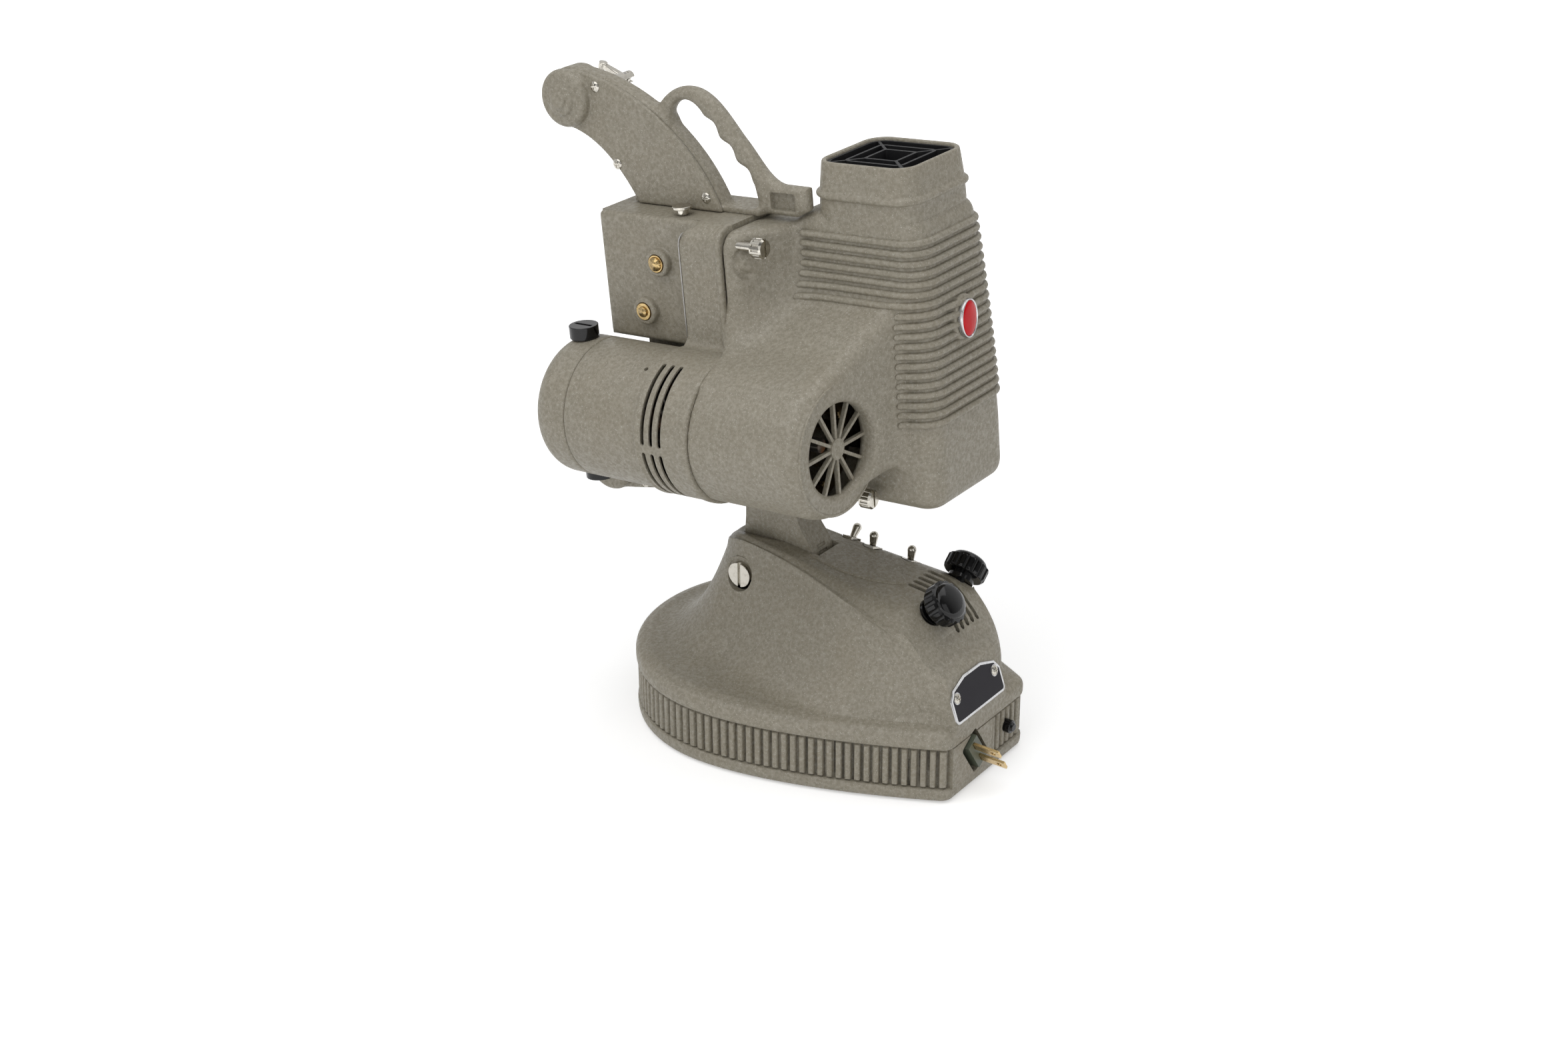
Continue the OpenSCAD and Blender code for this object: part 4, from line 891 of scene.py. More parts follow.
class Slot(Enum):
    """The record's material slots."""

    ENAMEL = "enamel"
    SHEET = "sheet_steel"
    RUBBER = "rubber"
    LABEL = "label_metal"
    NICKEL = "nickel"
    BLACK = "black_plastic"
    INSULATION = "insulation"
    CORD = "cord"
    BRASS = "brass"
    ROTOR = "rotor_steel"
    FAN = "fan_metal"
    BLACK_METAL = "black_metal"
    BADGE = "badge_red"
    GLASS = "clear_glass"


BRASS_ENDED = ("upper_sprocket", "lower_sprocket", "cam_shaft")


class Finishes:
    """All finishes, each made once."""

    def __init__(self) -> None:
        """Builds every slot's material."""
        self.of: Dict[Slot, bpy.types.Material] = {
            Slot.ENAMEL: WrinkleEnamel().make(),
            Slot.SHEET: Plated("sheet steel", (0.36, 0.355, 0.34), (0.22, 0.2, 0.17), 0.38).make(),
            Slot.RUBBER: Moulded("rubber", (0.02, 0.02, 0.02), 0.6).make(),
            Slot.LABEL: Plated("bare aluminium", (0.58, 0.58, 0.59), (0.38, 0.37, 0.35), 0.26).make(),
            Slot.NICKEL: Plated("nickel", (0.55, 0.525, 0.47), (0.3, 0.27, 0.21), 0.15).make(),
            Slot.BLACK: Moulded("black plastic", (0.003, 0.003, 0.0032), 0.09, 0.38, 0.06).make(),
            Slot.INSULATION: Moulded("brown moulding", (0.12, 0.055, 0.025), 0.3).make(),
            Slot.CORD: Moulded("grey green rubber", (0.085, 0.098, 0.068), 0.4).make(),
            Slot.BRASS: Plated("brass", (0.6, 0.44, 0.21), (0.3, 0.19, 0.08), 0.24).make(),
            Slot.ROTOR: Coils().make(),
            Slot.FAN: Plated("lacquered fan", (0.2, 0.15, 0.08), (0.1, 0.07, 0.03), 0.4).make(),
            Slot.BLACK_METAL: BlackPaint().make(),
            Slot.BADGE: Moulded("red badge", (0.52, 0.003, 0.008), 0.14, 0.16, 0.03).make(),
            Slot.GLASS: Glass().make(),
        }
        ends = BrassEnded().make()
        self.special: Dict[str, bpy.types.Material] = {node: ends for node in BRASS_ENDED}


def slot_of(node: str) -> Slot:
    """The slot that the record's subparts give a node.

    Args:
        node: a CAD node.

    Returns:
        Its slot, or enamel where the record names none.
    """
    for part in frame["record"].get("subparts", []):
        if part["node"] == node:
            return Slot(part["material_slot"])
    return Slot.ENAMEL


def dress(obj: bpy.types.Object, material: bpy.types.Material, slot: Optional[Slot] = None) -> None:
    """Gives an object one material.

    Args:
        obj: the piece.
        material: its finish.
        slot: the record's slot, or None on the stage; not used.
    """
    obj.data.materials.clear()
    obj.data.materials.append(material)


def body_of(node: str) -> str:
    """The body that a node belongs to."""
    return frame["nodes"][node]["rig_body"]


class Maker:
    """Puts finished pieces in the frame: dressed, riding their body and standing for their node."""

    def __init__(self, finishes: Finishes) -> None:
        """Keeps the finishes."""
        self.finishes = finishes

    def settle(self, obj: bpy.types.Object, node: str, slot: Slot, crease: float = 40.0,
               material: Optional[bpy.types.Material] = None, even: bool = False) -> bpy.types.Object:
        """Dresses a new piece that stands for a node.

        Args:
            obj: the piece.
            node: the CAD node it replaces.
            slot: its finish.
            crease: angle in degrees past which an edge shows.
            material: a finish other than the slot's own.
            even: whether flat faces weigh most in its shading.

        Returns:
            The piece.
        """
        soft_edges(obj, crease)
        if even:
            step = obj.modifiers.new("even shading", "WEIGHTED_NORMAL")
            step.keep_sharp = True
        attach(obj, body_of(node))
        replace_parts(obj, node)
        dress(obj, material or self.finishes.of[slot], slot)
        LOG.info("made %s", obj.name)
        return obj

    def copy(self, node: str, bevel: float = 0.0, crease: float = 30.0,
             material: Optional[bpy.types.Material] = None) -> bpy.types.Object:
        """Copies a CAD node, merged and with its edges broken, as a piece that replaces it.

        Args:
            node: the CAD node.
            bevel: width of the broken edges in millimetres, 0 for none.
            crease: angle in degrees past which an edge is broken or shows.
            material: a finish other than the slot's own.

        Returns:
            The new piece.
        """
        mesh = frame["nodes"][node].data.copy()
        work = bmesh.new()
        work.from_mesh(mesh)
        bmesh.ops.remove_doubles(work, verts=work.verts, dist=2e-6)
        if bevel > 0:
            bmesh.ops.dissolve_limit(work, angle_limit=math.radians(0.6), verts=work.verts, edges=work.edges)
        work.to_mesh(mesh)
        work.free()
        mesh.name = node + "_finished"
        obj = bpy.data.objects.new(node + "_finished", mesh)
        bpy.context.scene.collection.objects.link(obj)
        if bevel > 0:
            step = obj.modifiers.new("broken edges", "BEVEL")
            step.width, step.segments, step.limit_method = bevel * 0.001, 2, "ANGLE"
            step.angle_limit, step.use_clamp_overlap = math.radians(crease), True
        return self.settle(obj, node, slot_of(node), crease, material, True)


@dataclass
class BaseCover:
    """The cast cover of the base: hollow flanks over a band of upright fins."""

    half_w: float = 88.5
    rear_x: float = 101.0
    front_x: float = -133.5
    widest_x: float = -45.0
    rear_half_w: float = 44.0
    ledge_z: float = 46.0
    top_rear_z: float = 107.0
    wall: float = 3.5
    fin_depth: float = 2.6
    fin_pitch: float = 5.4
    fin_steps: int = 14
    fin_root: float = 1.4
    band: Tuple[float, float] = (9.0, 35.0)
    neck_half: float = 10.3
    boss_r: float = 11.0
    rest_x: float = 102.0
    rest_z: Tuple[float, float] = (49.0, 75.0)
    plug_at: Tuple[float, float] = (-14.0, 23.0)
    plug_turn: float = 34.0
    button_at: Tuple[float, float] = (22.0, 22.0)
    switches: Tuple[Tuple[float, float], ...] = ((-11.7, 24.0), (3.8, 24.0), (28.1, 28.0))
    vents: int = 5
    vent_pitch: float = 5.2
    vent_half: float = 1.55

    def _half(self, xr: float, wr: float, rc: float, slope: float, xw: float, w: float, xf: float) -> Array:
        """Half of a plan outline: flat rear, an arc, a long curve to the widest place, a round front.

        Args:
            xr: where the rear is.
            wr: half width at the rear.
            rc: radius of the rear corner.
            slope: how fast the side widens from there.
            xw: where it is widest.
            w: half width there.
            xf: where the front is.

        Returns:
            Rows of x and y from the rear's middle to the front's.
        """
        beta = math.degrees(math.atan2(1, slope))
        c = np.array([xr - rc, wr - rc])
        e = c + rc * np.array([math.cos(math.radians(beta)), math.sin(math.radians(beta))])
        d = np.array([-1, slope]) / math.hypot(1, slope)
        rear = np.stack([np.full(26, xr), np.linspace(0, wr - rc, 27)[:-1]], -1)
        flank = curve(e, e + 0.32 * (xr - xw) * d, (mix(xw, xr, 0.3), w), (xw, w), 34)
        nose = curve((xw, w), (mix(xw, xf, ROUND), w), (xf, w * ROUND), (xf, 0), 26)
        return np.concatenate([rear, arc(c, rc, 0, beta, 10)[:-1], flank, nose, [[xf, 0]]])

    def _whole(self, half: Array) -> Array:
        """The half outline mirrored over the centre plane."""
        return np.concatenate([half, half[-2:0:-1] * [1, -1]])

    def plan(self, o: float) -> Array:
        """The base's outline moved outwards by o."""
        return self._whole(self._half(self.rear_x + min(o, 1), self.rear_half_w + o, 8 + max(o, -4), 0.53,
                                      self.widest_x, self.half_w + o, self.front_x - o))

    def shoulder(self, o: float) -> Array:
        """The shoulder's outline, narrow at the neck.

        Args:
            o: how far outwards.

        Returns:
            Rows of x and y.
        """
        px = PIVOT[0]
        return self._whole(self._half(self.rear_x - 24 + o, 39 + o, 21 + max(o, -8), -0.2, px + 4, 22.5 + o,
                                      px - 22.5 - o))

    def top(self, o: float) -> Array:
        """The outline of the flat top inside the shoulder.

        Args:
            o: how far outwards.

        Returns:
            Rows of x and y.
        """
        px = PIVOT[0]
        return self._whole(self._half(self.rear_x - 42 + o, 21 + o, 14 + max(o, -8), 0, px + 6, 19.5 + o,
                                      px - 15 - o))

    def ridge(self, x: Array) -> Array:
        """Height of the ridge: a slow fall towards the rear and a quicker one over the nose."""
        return self.top_rear_z + 0.112 * (45 - x) - 13 * np.clip((PIVOT[0] + 2 - x) / 24, 0, 1) ** 1.5

    def shoulder_z(self, p: Array) -> Array:
        """Height of the shoulder: it drops outwards, and more at the rear."""
        return (self.ridge(p[:, 0]) - 2 - 0.3 * np.maximum(np.abs(p[:, 1]) - 20, 0)
                - 1.1 * np.maximum(p[:, 0] - self.rear_x + 35, 0))

    def flank(self, s: Array, x: Array) -> Array:
        """Share of the flank's height at a share s inwards: a power, hollow in front and full behind.

        Args:
            s: share of the way inwards.
            x: place along the base.

        Returns:
            The share of the height.
        """
        shelf = 0.2 * np.clip((x - 55) / 35, 0, 1)
        front = mix(4.0, 2.5, np.clip((self.widest_x - x) / 70, 0, 1))
        side = mix(4.0, 1.3, np.clip((x - self.widest_x) / (30 - self.widest_x), 0, 1) ** 0.6)
        behind = mix(1.3, 0.42, np.clip((x - 30) / 62, 0, 1))
        p = np.where(x < self.widest_x, front, np.where(x < 30, side, behind))
        return 0.5 * np.minimum(s, shelf) + (1 - 0.5 * shelf) * (np.maximum(s - shelf, 0) / (1 - shelf)) ** p

    def level(self, z: float, o: float) -> Array:
        """A level ring."""
        p = self.plan(o)
        return np.column_stack([p, np.full(len(p), z)])

    def body(self, u: float, o: float) -> Array:
        """A ring of the flank, a share u of the way from the ledge to the shoulder.

        Args:
            u: share of the way up.
            o: how far outwards.

        Returns:
            Rows of x, y, z.
        """
        low, high = self.plan(o - 7), self.shoulder(o)
        s = u ** mix(1, 1.9, np.clip((low[:, 0] - 20) / 75, 0, 1))
        q = mix(low, high, s[:, None])
        return np.column_stack([q, mix(self.ledge_z + 1.4 + o / 2, self.shoulder_z(high) + o,
                                       self.flank(s, low[:, 0]))])

    def crown(self, t: float, o: float) -> Array:
        """A ring of the rounding between the shoulder and the flat top.

        Args:
            t: share of the way inwards.
            o: how far outwards.

        Returns:
            Rows of x, y, z.
        """
        a, b = self.shoulder(o), self.top(o)
        return np.column_stack([mix(a, b, t), mix(self.shoulder_z(a), self.ridge(b[:, 0]),
                                                  math.sin(math.pi / 2 * t)) + o])

    def _rest(self, rings: Array) -> Array:
        """Pushes the rear out to the leaning rest of the label, faded at the rest's sides.

        Args:
            rings: the casting's rings.

        Returns:
            The rings, those at the rest's height pushed out.
        """
        x, y, z = rings[..., 0], rings[..., 1], rings[..., 2]
        foot, head = self.rest_z
        lean = self.rest_x - 9 * (z - foot) / (head - foot)
        reach = np.where(z < foot, self.rest_x, np.where(z < head, lean, self.rest_x - 9 - 2.2 * (z - head)))
        inside = np.clip((28.5 - np.abs(y + 7.5)) / 2.5, 0, 1)
        fade = inside * inside * (3 - 2 * inside) * (z > 43) * (x > 55)
        pushed = np.maximum(x, mix(np.minimum(x, reach), reach, fade))
        return np.stack([pushed, y, z], -1)

    def _shell(self) -> bpy.types.Object:
        """The casting without its fins, cut out inside."""
        low = [(1.2, -1.2), (1.5, -0.5), (2.3, 0.1), (4, 0.5), (7.2, 0.7), (8.2, 0.5), (8.8, -0.2), (9, -1.2),
               (9, -2.6), (35, -2.6), (35, -1.0), (35.2, 0.0), (35.8, 0.7), (37, 0.95), (39, 1.0),
               (41.2, 0.95), (42.6, 0.6), (43.7, 0.0), (44.6, -0.8), (45.4, -1.9),
               (46.0, -3.2), (46.5, -4.6), (46.9, -5.8)]
        rings = [self.level(z, o) for z, o in low]
        rings += [self.body(u, 0) for u in np.linspace(0, 0.96, 42)]
        rings += [self.body(u, o) for u, o in ((0.972, 0.12), (0.982, 0.42), (0.992, 0.62), (1.0, 0.66))]
        rings += [self.crown(t, o) for t, o in ((0.04, 0.6), (0.08, 0.38), (0.12, 0.12), (0.17, 0.0))]
        rings += [self.crown(t, 0) for t in (0.25, 0.4, 0.55, 0.7, 0.85, 1.0)]
        peak = np.array([-10, 0, float(self.ridge(np.array(-10.0))) + 0.3])
        rings += [mix(rings[-1], peak, t) for t in (0.35, 0.7)]
        shell = closed_loft("base_cover", self._rest(np.stack(rings)), from_base)
        boss = prism("boss", disc(self.boss_r), -25, 25, from_base, along_y_axis(*PIVOT))
        carve(shell, [boss, self._pad()], join=True)
        inner = [self.level(-1, -5.5), self.level(self.ledge_z - 6, -5.5)]
        inner += [self.body(u, -self.wall) for u in np.linspace(0, 1, 12)]
        inner += [self.crown(t, -self.wall) for t in (0.3, 0.65, 1)]
        hollow = closed_loft("hollow", np.stack(inner), from_base)
        carve(shell, [hollow, *self._cutters()])
        return shell

    def _pad(self) -> bpy.types.Object:
        """The faint leaf-shaped pad behind the neck, on the flat top."""
        half = np.concatenate([curve((-16, 13), (4, 16.5), (26, 16.5), (44, 1.2), 20)[:-1],
                               arc((43.4, 0), 1.2, 60, 0, 4)])
        leaf = np.concatenate([half[::-1] * [1, -1], half[:-1]])[::-1]
        middle = leaf.mean(0)
        rings = []
        for inset, height in ((0.0, -1.5), (0.0, 0.15), (0.02, 0.45), (0.06, 0.6)):
            flat = mix(leaf, middle, inset)
            rings.append(np.column_stack([flat, self.ridge(flat[:, 0]) + 0.3 + height]))
        return closed_loft("pad", np.stack(rings), from_base)

    def _cutters(self) -> List[bpy.types.Object]:
        """Everything that is cut through the casting's wall."""
        px, pz = PIVOT
        pin, speed = along_y_axis(px, pz), leaning((64.5, -10, 98.5), "Y", 50)
        tilt = leaning((60, 24, 94), "X", -51)
        holes = [("pivot bore", 5.05, -60, 60, pin), ("pivot seat", 9.5, -60, -24.7, pin),
                 ("pivot seat", 9.5, 24.7, 60, pin), ("speed bore", 5.05, -30, 30, speed),
                 ("speed seat", 9, 2.7, 23, speed), ("tilt bore", 3.05, -30, 30, tilt),
                 ("tilt seat", 9, 10.7, 31, tilt)]
        half = self.neck_half
        out = [box("neck slot", (px - 10, -half, 60), (px + 46, half, 140), from_base)]
        out += [prism(name, disc(r), low, high, from_base, turn) for name, r, low, high, turn in holes]
        out.append(self._button_bore())
        for x, y in self.switches:
            z = float(self.shoulder_z(np.array([[x, y]]))[0]) - 1
            lean = leaning((x, y, z), "X", -28)
            out += [prism("switch bore", disc(5.3), -20, 20, from_base, lean),
                    prism("switch seat", disc(7.2), 1.3, 21, from_base, lean)]
        for i in range(self.vents):
            y = 1.4 + self.vent_pitch * i
            slot = np.concatenate([arc((78, y), self.vent_half, -90, 90, 8),
                                   arc((46, y), self.vent_half, 90, 270, 8)])
            out.append(prism("vent", slot, 80, 130, from_base, lambda q: q))
        out.append(self._recess())
        return out

    def _recess(self) -> bpy.types.Object:
        """The plug's recess, turned in the rear wall."""
        y, z = self.plug_at
        c, s = math.cos(math.radians(self.plug_turn)), math.sin(math.radians(self.plug_turn))

        def turn(q: Array) -> Array:
            """Turns the flat outline about the plug's middle."""
            return np.column_stack([q[:, 2], y + c * q[:, 0] - s * q[:, 1], z + s * q[:, 0] + c * q[:, 1]])

        return prism("plug recess", round_rect(0, 0, 8.5, 13, 2.0, 5), 77, 112, from_base, turn)

    def _button_bore(self) -> bpy.types.Object:
        """The button's bore through the rear wall."""
        return prism("button bore", disc(4.05), 81, 111, from_base, along_x_axis(*self.button_at))

    def _fins(self) -> bpy.types.Object:
        """The band of fins: a half round wave along the outline, faded out at its top and bottom ends."""
        p = self.plan(-self.fin_depth)
        loop = np.concatenate([p, p[:1]])
        run = np.concatenate([[0], np.cumsum(np.linalg.norm(np.diff(loop, axis=0), axis=1))])
        count = int(run[-1] // self.fin_pitch)
        s = np.linspace(0, run[-1], count * self.fin_steps, endpoint=False)
        at = np.stack([np.interp(s, run, loop[:, i]) for i in (0, 1)], -1)
        along = np.roll(at, -1, 0) - np.roll(at, 1, 0)
        along /= np.linalg.norm(along, axis=1, keepdims=True)
        out = np.stack([along[:, 1], -along[:, 0]], -1)
        phase = np.abs((s * count / run[-1]) % 1 - 0.5) / 0.355
        wave = self.fin_depth * np.sqrt(np.clip(1 - phase ** 5, 0, 1))
        flush = (at[:, 0] > 93) & (at[:, 1] > -37) & (at[:, 1] < 5)
        t = np.linspace(0, 1, 17)
        z = mix(self.band[0] - 0.3, self.band[1] + 0.3, t)
        edge = np.minimum(z - self.band[0] + 0.3, self.band[1] + 0.3 - z)
        fade = np.sqrt(np.clip(1 - (1 - np.clip(edge / 2.2, 0, 1)) ** 2, 0, 1))
        reach = np.where(flush, self.fin_depth + 1, wave[None, :] * fade[:, None])
        rows = [np.column_stack([at - self.fin_root * out, np.full(len(s), z[0])])]
        rows += [np.column_stack([at + r[:, None] * out, np.full(len(s), h)]) for r, h in zip(reach, z)]
        rows.append(np.column_stack([at - self.fin_root * out, np.full(len(s), z[-1])]))
        band = closed_band("base_fins", np.stack(rows), from_base)
        carve(band, [self._recess(), self._button_bore()])
        return band

    def build(self, maker: Maker) -> None:
        """Makes and dresses the cover and its fins."""
        maker.settle(self._shell(), "base_shell", Slot.ENAMEL, 38, None, True)
        maker.settle(self._fins(), "base_shell", Slot.ENAMEL, 50)


@dataclass
class LampHouse:
    """Tower, blower shroud and air duct in one casting, with ribs wrapped round the tower."""

    front_x: float = -8.0
    mid_y: float = 24.0
    low_z: float = 152.0
    top_z: float = 318.0
    corner_r: float = 14.0
    wall: float = 3.0
    axis_y: float = MOTOR_AXIS[0]
    axis_z: float = MOTOR_AXIS[1]
    shroud_r: float = 40.5
    shroud_x: Tuple[float, float] = (-25.0, 46.9)
    lip_r: float = 37.0
    inlet_r: float = 25.6
    wing_near_y: float = -46.2
    wing_top_z: float = 311.5
    lamp_z: float = 252.0
    rib_low_z: float = 205.0
    rib_high_z: float = 306.0
    ribs: int = 19
    rib_h: float = 2.2
    badge_z: float = 257.0

    def rear(self, z: Array) -> Array:
        """Where the tower's rear wall is at a height."""
        return 66 + mix(12.5, 4.8, np.clip((np.asarray(z, float) - 190) / 128, 0, 1) ** 1.5)

    def sizes(self, z: Array) -> Tuple[Array, Array, Array]:
        """Middle and half sizes of the tower at a height."""
        hx = (self.rear(z) - self.front_x) / 2
        return self.front_x + hx, hx, mix(39.0, 33.5, np.clip((np.asarray(z, float) - 190) / 128, 0, 1))

    def _wall(self, x: Array, y: Array, z: Array) -> Array:
        """Distance to the tower's wall, a rounded square without ends."""
        cx, hx, hy = self.sizes(z)
        return round_box(x - cx, y - self.mid_y, hx, hy, self.corner_r)

    def _across(self, y: Array, z: Array) -> Array:
        """How far a point is from the motor's axis."""
        return np.hypot(y - self.axis_y, z - self.axis_z)

    def _shroud(self, across: Array, x: Array) -> Array:
        """Distance to the blower's round shroud, its rear rim well rounded."""
        low, high = self.shroud_x
        return smooth_most(smooth_most(across - self.shroud_r, x - high, 11), low - x, 1.2)

    def _duct(self, x: Array, y: Array, z: Array) -> Array:
        """Distance to the air duct: a ramp up to the tower between two leaning flanks.

        Args:
            x: rearwards, in millimetres of the head.
            y: across, away from the viewer.
            z: upwards.

        Returns:
            The distance, negative inside.
        """
        low = self.shroud_x[0]
        ramp = -0.516 * (y + 13) + 0.857 * (z - 273)
        front = np.maximum(low - x, (low + 0.62 * (y + 48) - x) / 1.177)
        rear = (x - 46 - 0.3 * (y + 60)) / 1.044
        duct = smooth_most(smooth_most(ramp, rear, 9), smooth_most(front, 180 - z, 6), 6)
        return np.maximum(duct, np.maximum(-78 - y, y + 2))

    def _wing(self, x: Array, y: Array, z: Array) -> Array:
        """Distance to the wing that reaches from the tower to the gear cover, its near top corner round.

        Args:
            x: rearwards, in millimetres of the head.
            y: across, away from the viewer.
            z: upwards.

        Returns:
            The distance, negative inside.
        """
        shoulder = round_corner(y, z, self.wing_near_y, self.wing_top_z, 11)
        wing = np.maximum(np.maximum(y - 13, 232 - z), shoulder)
        wing = smooth_most(wing, 0.872 * (x + 26.5) - 0.491 * (y + 46.5), 7)
        return smooth_most(wing, -32.4 - x, 1.6)

    def _boss(self, x: Array, y: Array, z: Array) -> Array:
        """Distance to the oval boss under the badge."""
        oval = np.hypot((y - self.mid_y) / 0.78, z - self.badge_z)
        return rod(oval, x, 60, float(self.rear(self.badge_z)) + 2.7, 13.6, 1.4)

    def _scoop(self, x: Array, y: Array, z: Array) -> Array:
        """Distance to the crescent groove beside the upper thumb screw."""
        groove = np.hypot(np.hypot(y + 35.0, z - 294.5) - 8, x + 20.3 - 0.563 * (y + 35.0)) - 2.3
        return np.maximum(groove, y + 35.5)

    def outside(self, x: Array, y: Array, z: Array) -> Array:
        """Distance to the casting's masses, joined with fillets.

        Args:
            x: rearwards, in millimetres of the head.
            y: across, away from the viewer.
            z: upwards.

        Returns:
            The distance, negative inside.
        """
        across = self._across(y, z)
        tower = smooth_most(smooth_most(self._wall(x, y, z), z - self.top_z, 9), self.low_z - z, 12)
        lip = rod(across, x, 41, 48.1, self.lip_r, 1.1)
        solid = smooth_least(smooth_least(self._shroud(across, x), self._duct(x, y, z), 12), lip, 0.9)
        solid = smooth_least(solid, self._wing(x, y, z), 20)
        solid = smooth_least(solid, tower, 9)
        port_neck = block((x, y, z), (-32.7, 7, 233), (-4, 41, 271), 2)
        solid = np.minimum(solid, port_neck)
        screw_lug = block((x, y, z), (8, -31, 153), (24, -13, 184), 3)
        solid = smooth_least(solid, screw_lug, 5)
        solid = smooth_least(solid, self._boss(x, y, z), 1.5)
        return smooth_most(solid, -self._scoop(x, y, z), 1.0)

    def field(self, x: Array, y: Array, z: Array) -> Array:
        """Distance to the casting less its hollows.

        Args:
            x: rearwards, in millimetres of the head.
            y: across, away from the viewer.
            z: upwards.

        Returns:
            The distance, negative inside.
        """
        across = self._across(y, z)
        wall = self._wall(x, y, z) + self.wall
        room = smooth_most(smooth_most(wall, z - 313.5, 7), 155 - z, 8)
        chimney = np.maximum(round_box(x - 35, y - 24, 28, 28, 10), 310 - z)
        scroll = rod(across, x, -34, 42, 37.5, 5.0)
        passage = block((x, y, z), (10, -60, 184), (40, -3, 232), 0)
        port = rod(np.hypot(y - self.mid_y, z - self.lamp_z), x, -40, 12, 13.0, 0.0)
        hollow = np.minimum(np.minimum(room, chimney), scroll)
        hollow = np.minimum(np.minimum(hollow, passage), port)
        inlet = np.maximum(across - self.inlet_r, 36 - x)
        return smooth_most(np.maximum(self.outside(x, y, z), -hollow), -inlet, 5.0)

    def _rib_path(self, z: float) -> Tuple[Array, Array]:
        """Path of a rib at a height, lying on whatever surface is outermost, and its outward directions.

        Args:
            z: height of the rib.

        Returns:
            Rows of x, y, z, and the directions as rows.
        """
        cx, hx, hy = (float(v) for v in self.sizes(z))
        start = -5.0 if z > 272 else 59.0
        flat = round_rect(cx, self.mid_y, hx, hy, self.corner_r, 14)[:30]
        path = np.concatenate([[[start, self.mid_y - hy]], flat, [[6.0, self.mid_y + hy]]])
        path = resample(path, 3.0, 2.6)
        step = np.gradient(path, axis=0)
        step /= np.linalg.norm(step, axis=1, keepdims=True)
        out = np.column_stack([step[:, 1], -step[:, 0]])
        t = np.linspace(-0.5, 9.0, 96)[:, None]
        x, y = path[:, 0] + t * out[:, 0], path[:, 1] + t * out[:, 1]
        buried = (self.outside(x, y, np.full_like(x, z)) < 0) & (path[:, 0] < 76)
        lift = np.where(buried, t, 0.0).max(axis=0)
        lift = np.convolve(np.pad(lift, 2, mode="edge"), np.ones(5) / 5, "valid")
        path = path + out * lift[:, None]
        return np.column_stack([path, np.full(len(path), z)]), np.column_stack([out, np.zeros(len(path))])

    def _ribs(self) -> bpy.types.Object:
        """All ribs as one mesh of closed half-sunk bars."""
        points: List[Array] = []
        faces: List[List[int]] = []
        for z in np.linspace(self.rib_low_z, self.rib_high_z, self.ribs):
            base = sum(len(p) for p in points)
            bar, sides = loft(path_bar(*self._rib_path(float(z)), wide=2.05, high=self.rib_h + 0.35))
            points.append(bar)
            faces += [[base + index for index in side] for side in sides]
        obj = mesh_object("lamp_house_ribs", from_head(np.concatenate(points)), faces)
        turn_outwards(obj)
        return obj

    def _collar(self) -> bpy.types.Object:
        """The chimney collar: a rounded square with a bead, hollow, closed over its rim."""
        outer = [(312, 2.0), (318, 2.3), (323, 2.1), (325.4, 1.9), (325.9, 2.2), (326.4, 3.2), (327.1, 3.85),
                 (328, 4.0), (328.8, 3.8), (329.5, 3.0), (330.0, 2.0), (330.6, 1.7), (335, 1.2), (340, 0.6),
                 (344.6, 0.0), (345.6, -0.3), (346, -0.9)]
        inner = [(346, -2.2), (345.6, -2.8), (345, -3.0), (312, -3.0)]
        rows = []
        for z, o in outer + inner:
            ring = round_rect(35, self.mid_y, 31 + o, 31 + o, 13 + o, 10)
            rows.append(np.column_stack([ring, np.full(len(ring), z)]))
        return closed_band("lamp_house_collar", np.stack(rows), from_head)

    def _bead(self, round_steps: int = 96, across_steps: int = 10) -> bpy.types.Object:
        """The thin bead round the inlet's lip, half sunk.

        Args:
            round_steps: steps round the inlet.
            across_steps: points round the bead.

        Returns:
            The bead.
        """
        t, q = np.meshgrid(np.linspace(0, 2 * np.pi, round_steps, endpoint=False),
                           np.linspace(0, 2 * np.pi, across_steps, endpoint=False), indexing="ij")
        across = self.lip_r - 0.4 + 0.9 * np.cos(q)
        grid = np.stack([47.9 + 0.75 * np.sin(q), self.axis_y + across * np.cos(t),
                         self.axis_z + across * np.sin(t)], -1)
        return closed_band("lamp_house_lip_bead", grid, from_head)

    def build(self, maker: Maker) -> None:
        """Makes and dresses the casting, the collar and the ribs.

        Args:
            maker: settles the pieces.
        """
        body = net_surface("lamp_house_casting", self.field, (-36, -104, 149), (84, 66, 322), (1.5, 1.5, 1.5),
                           from_head)
        maker.settle(body, "lamp_house", Slot.ENAMEL, 50)
        maker.settle(self._collar(), "lamp_house", Slot.ENAMEL, 50)
        maker.settle(self._bead(), "lamp_house", Slot.ENAMEL, 60)
        maker.settle(self._ribs(), "lamp_house", Slot.ENAMEL, 60)


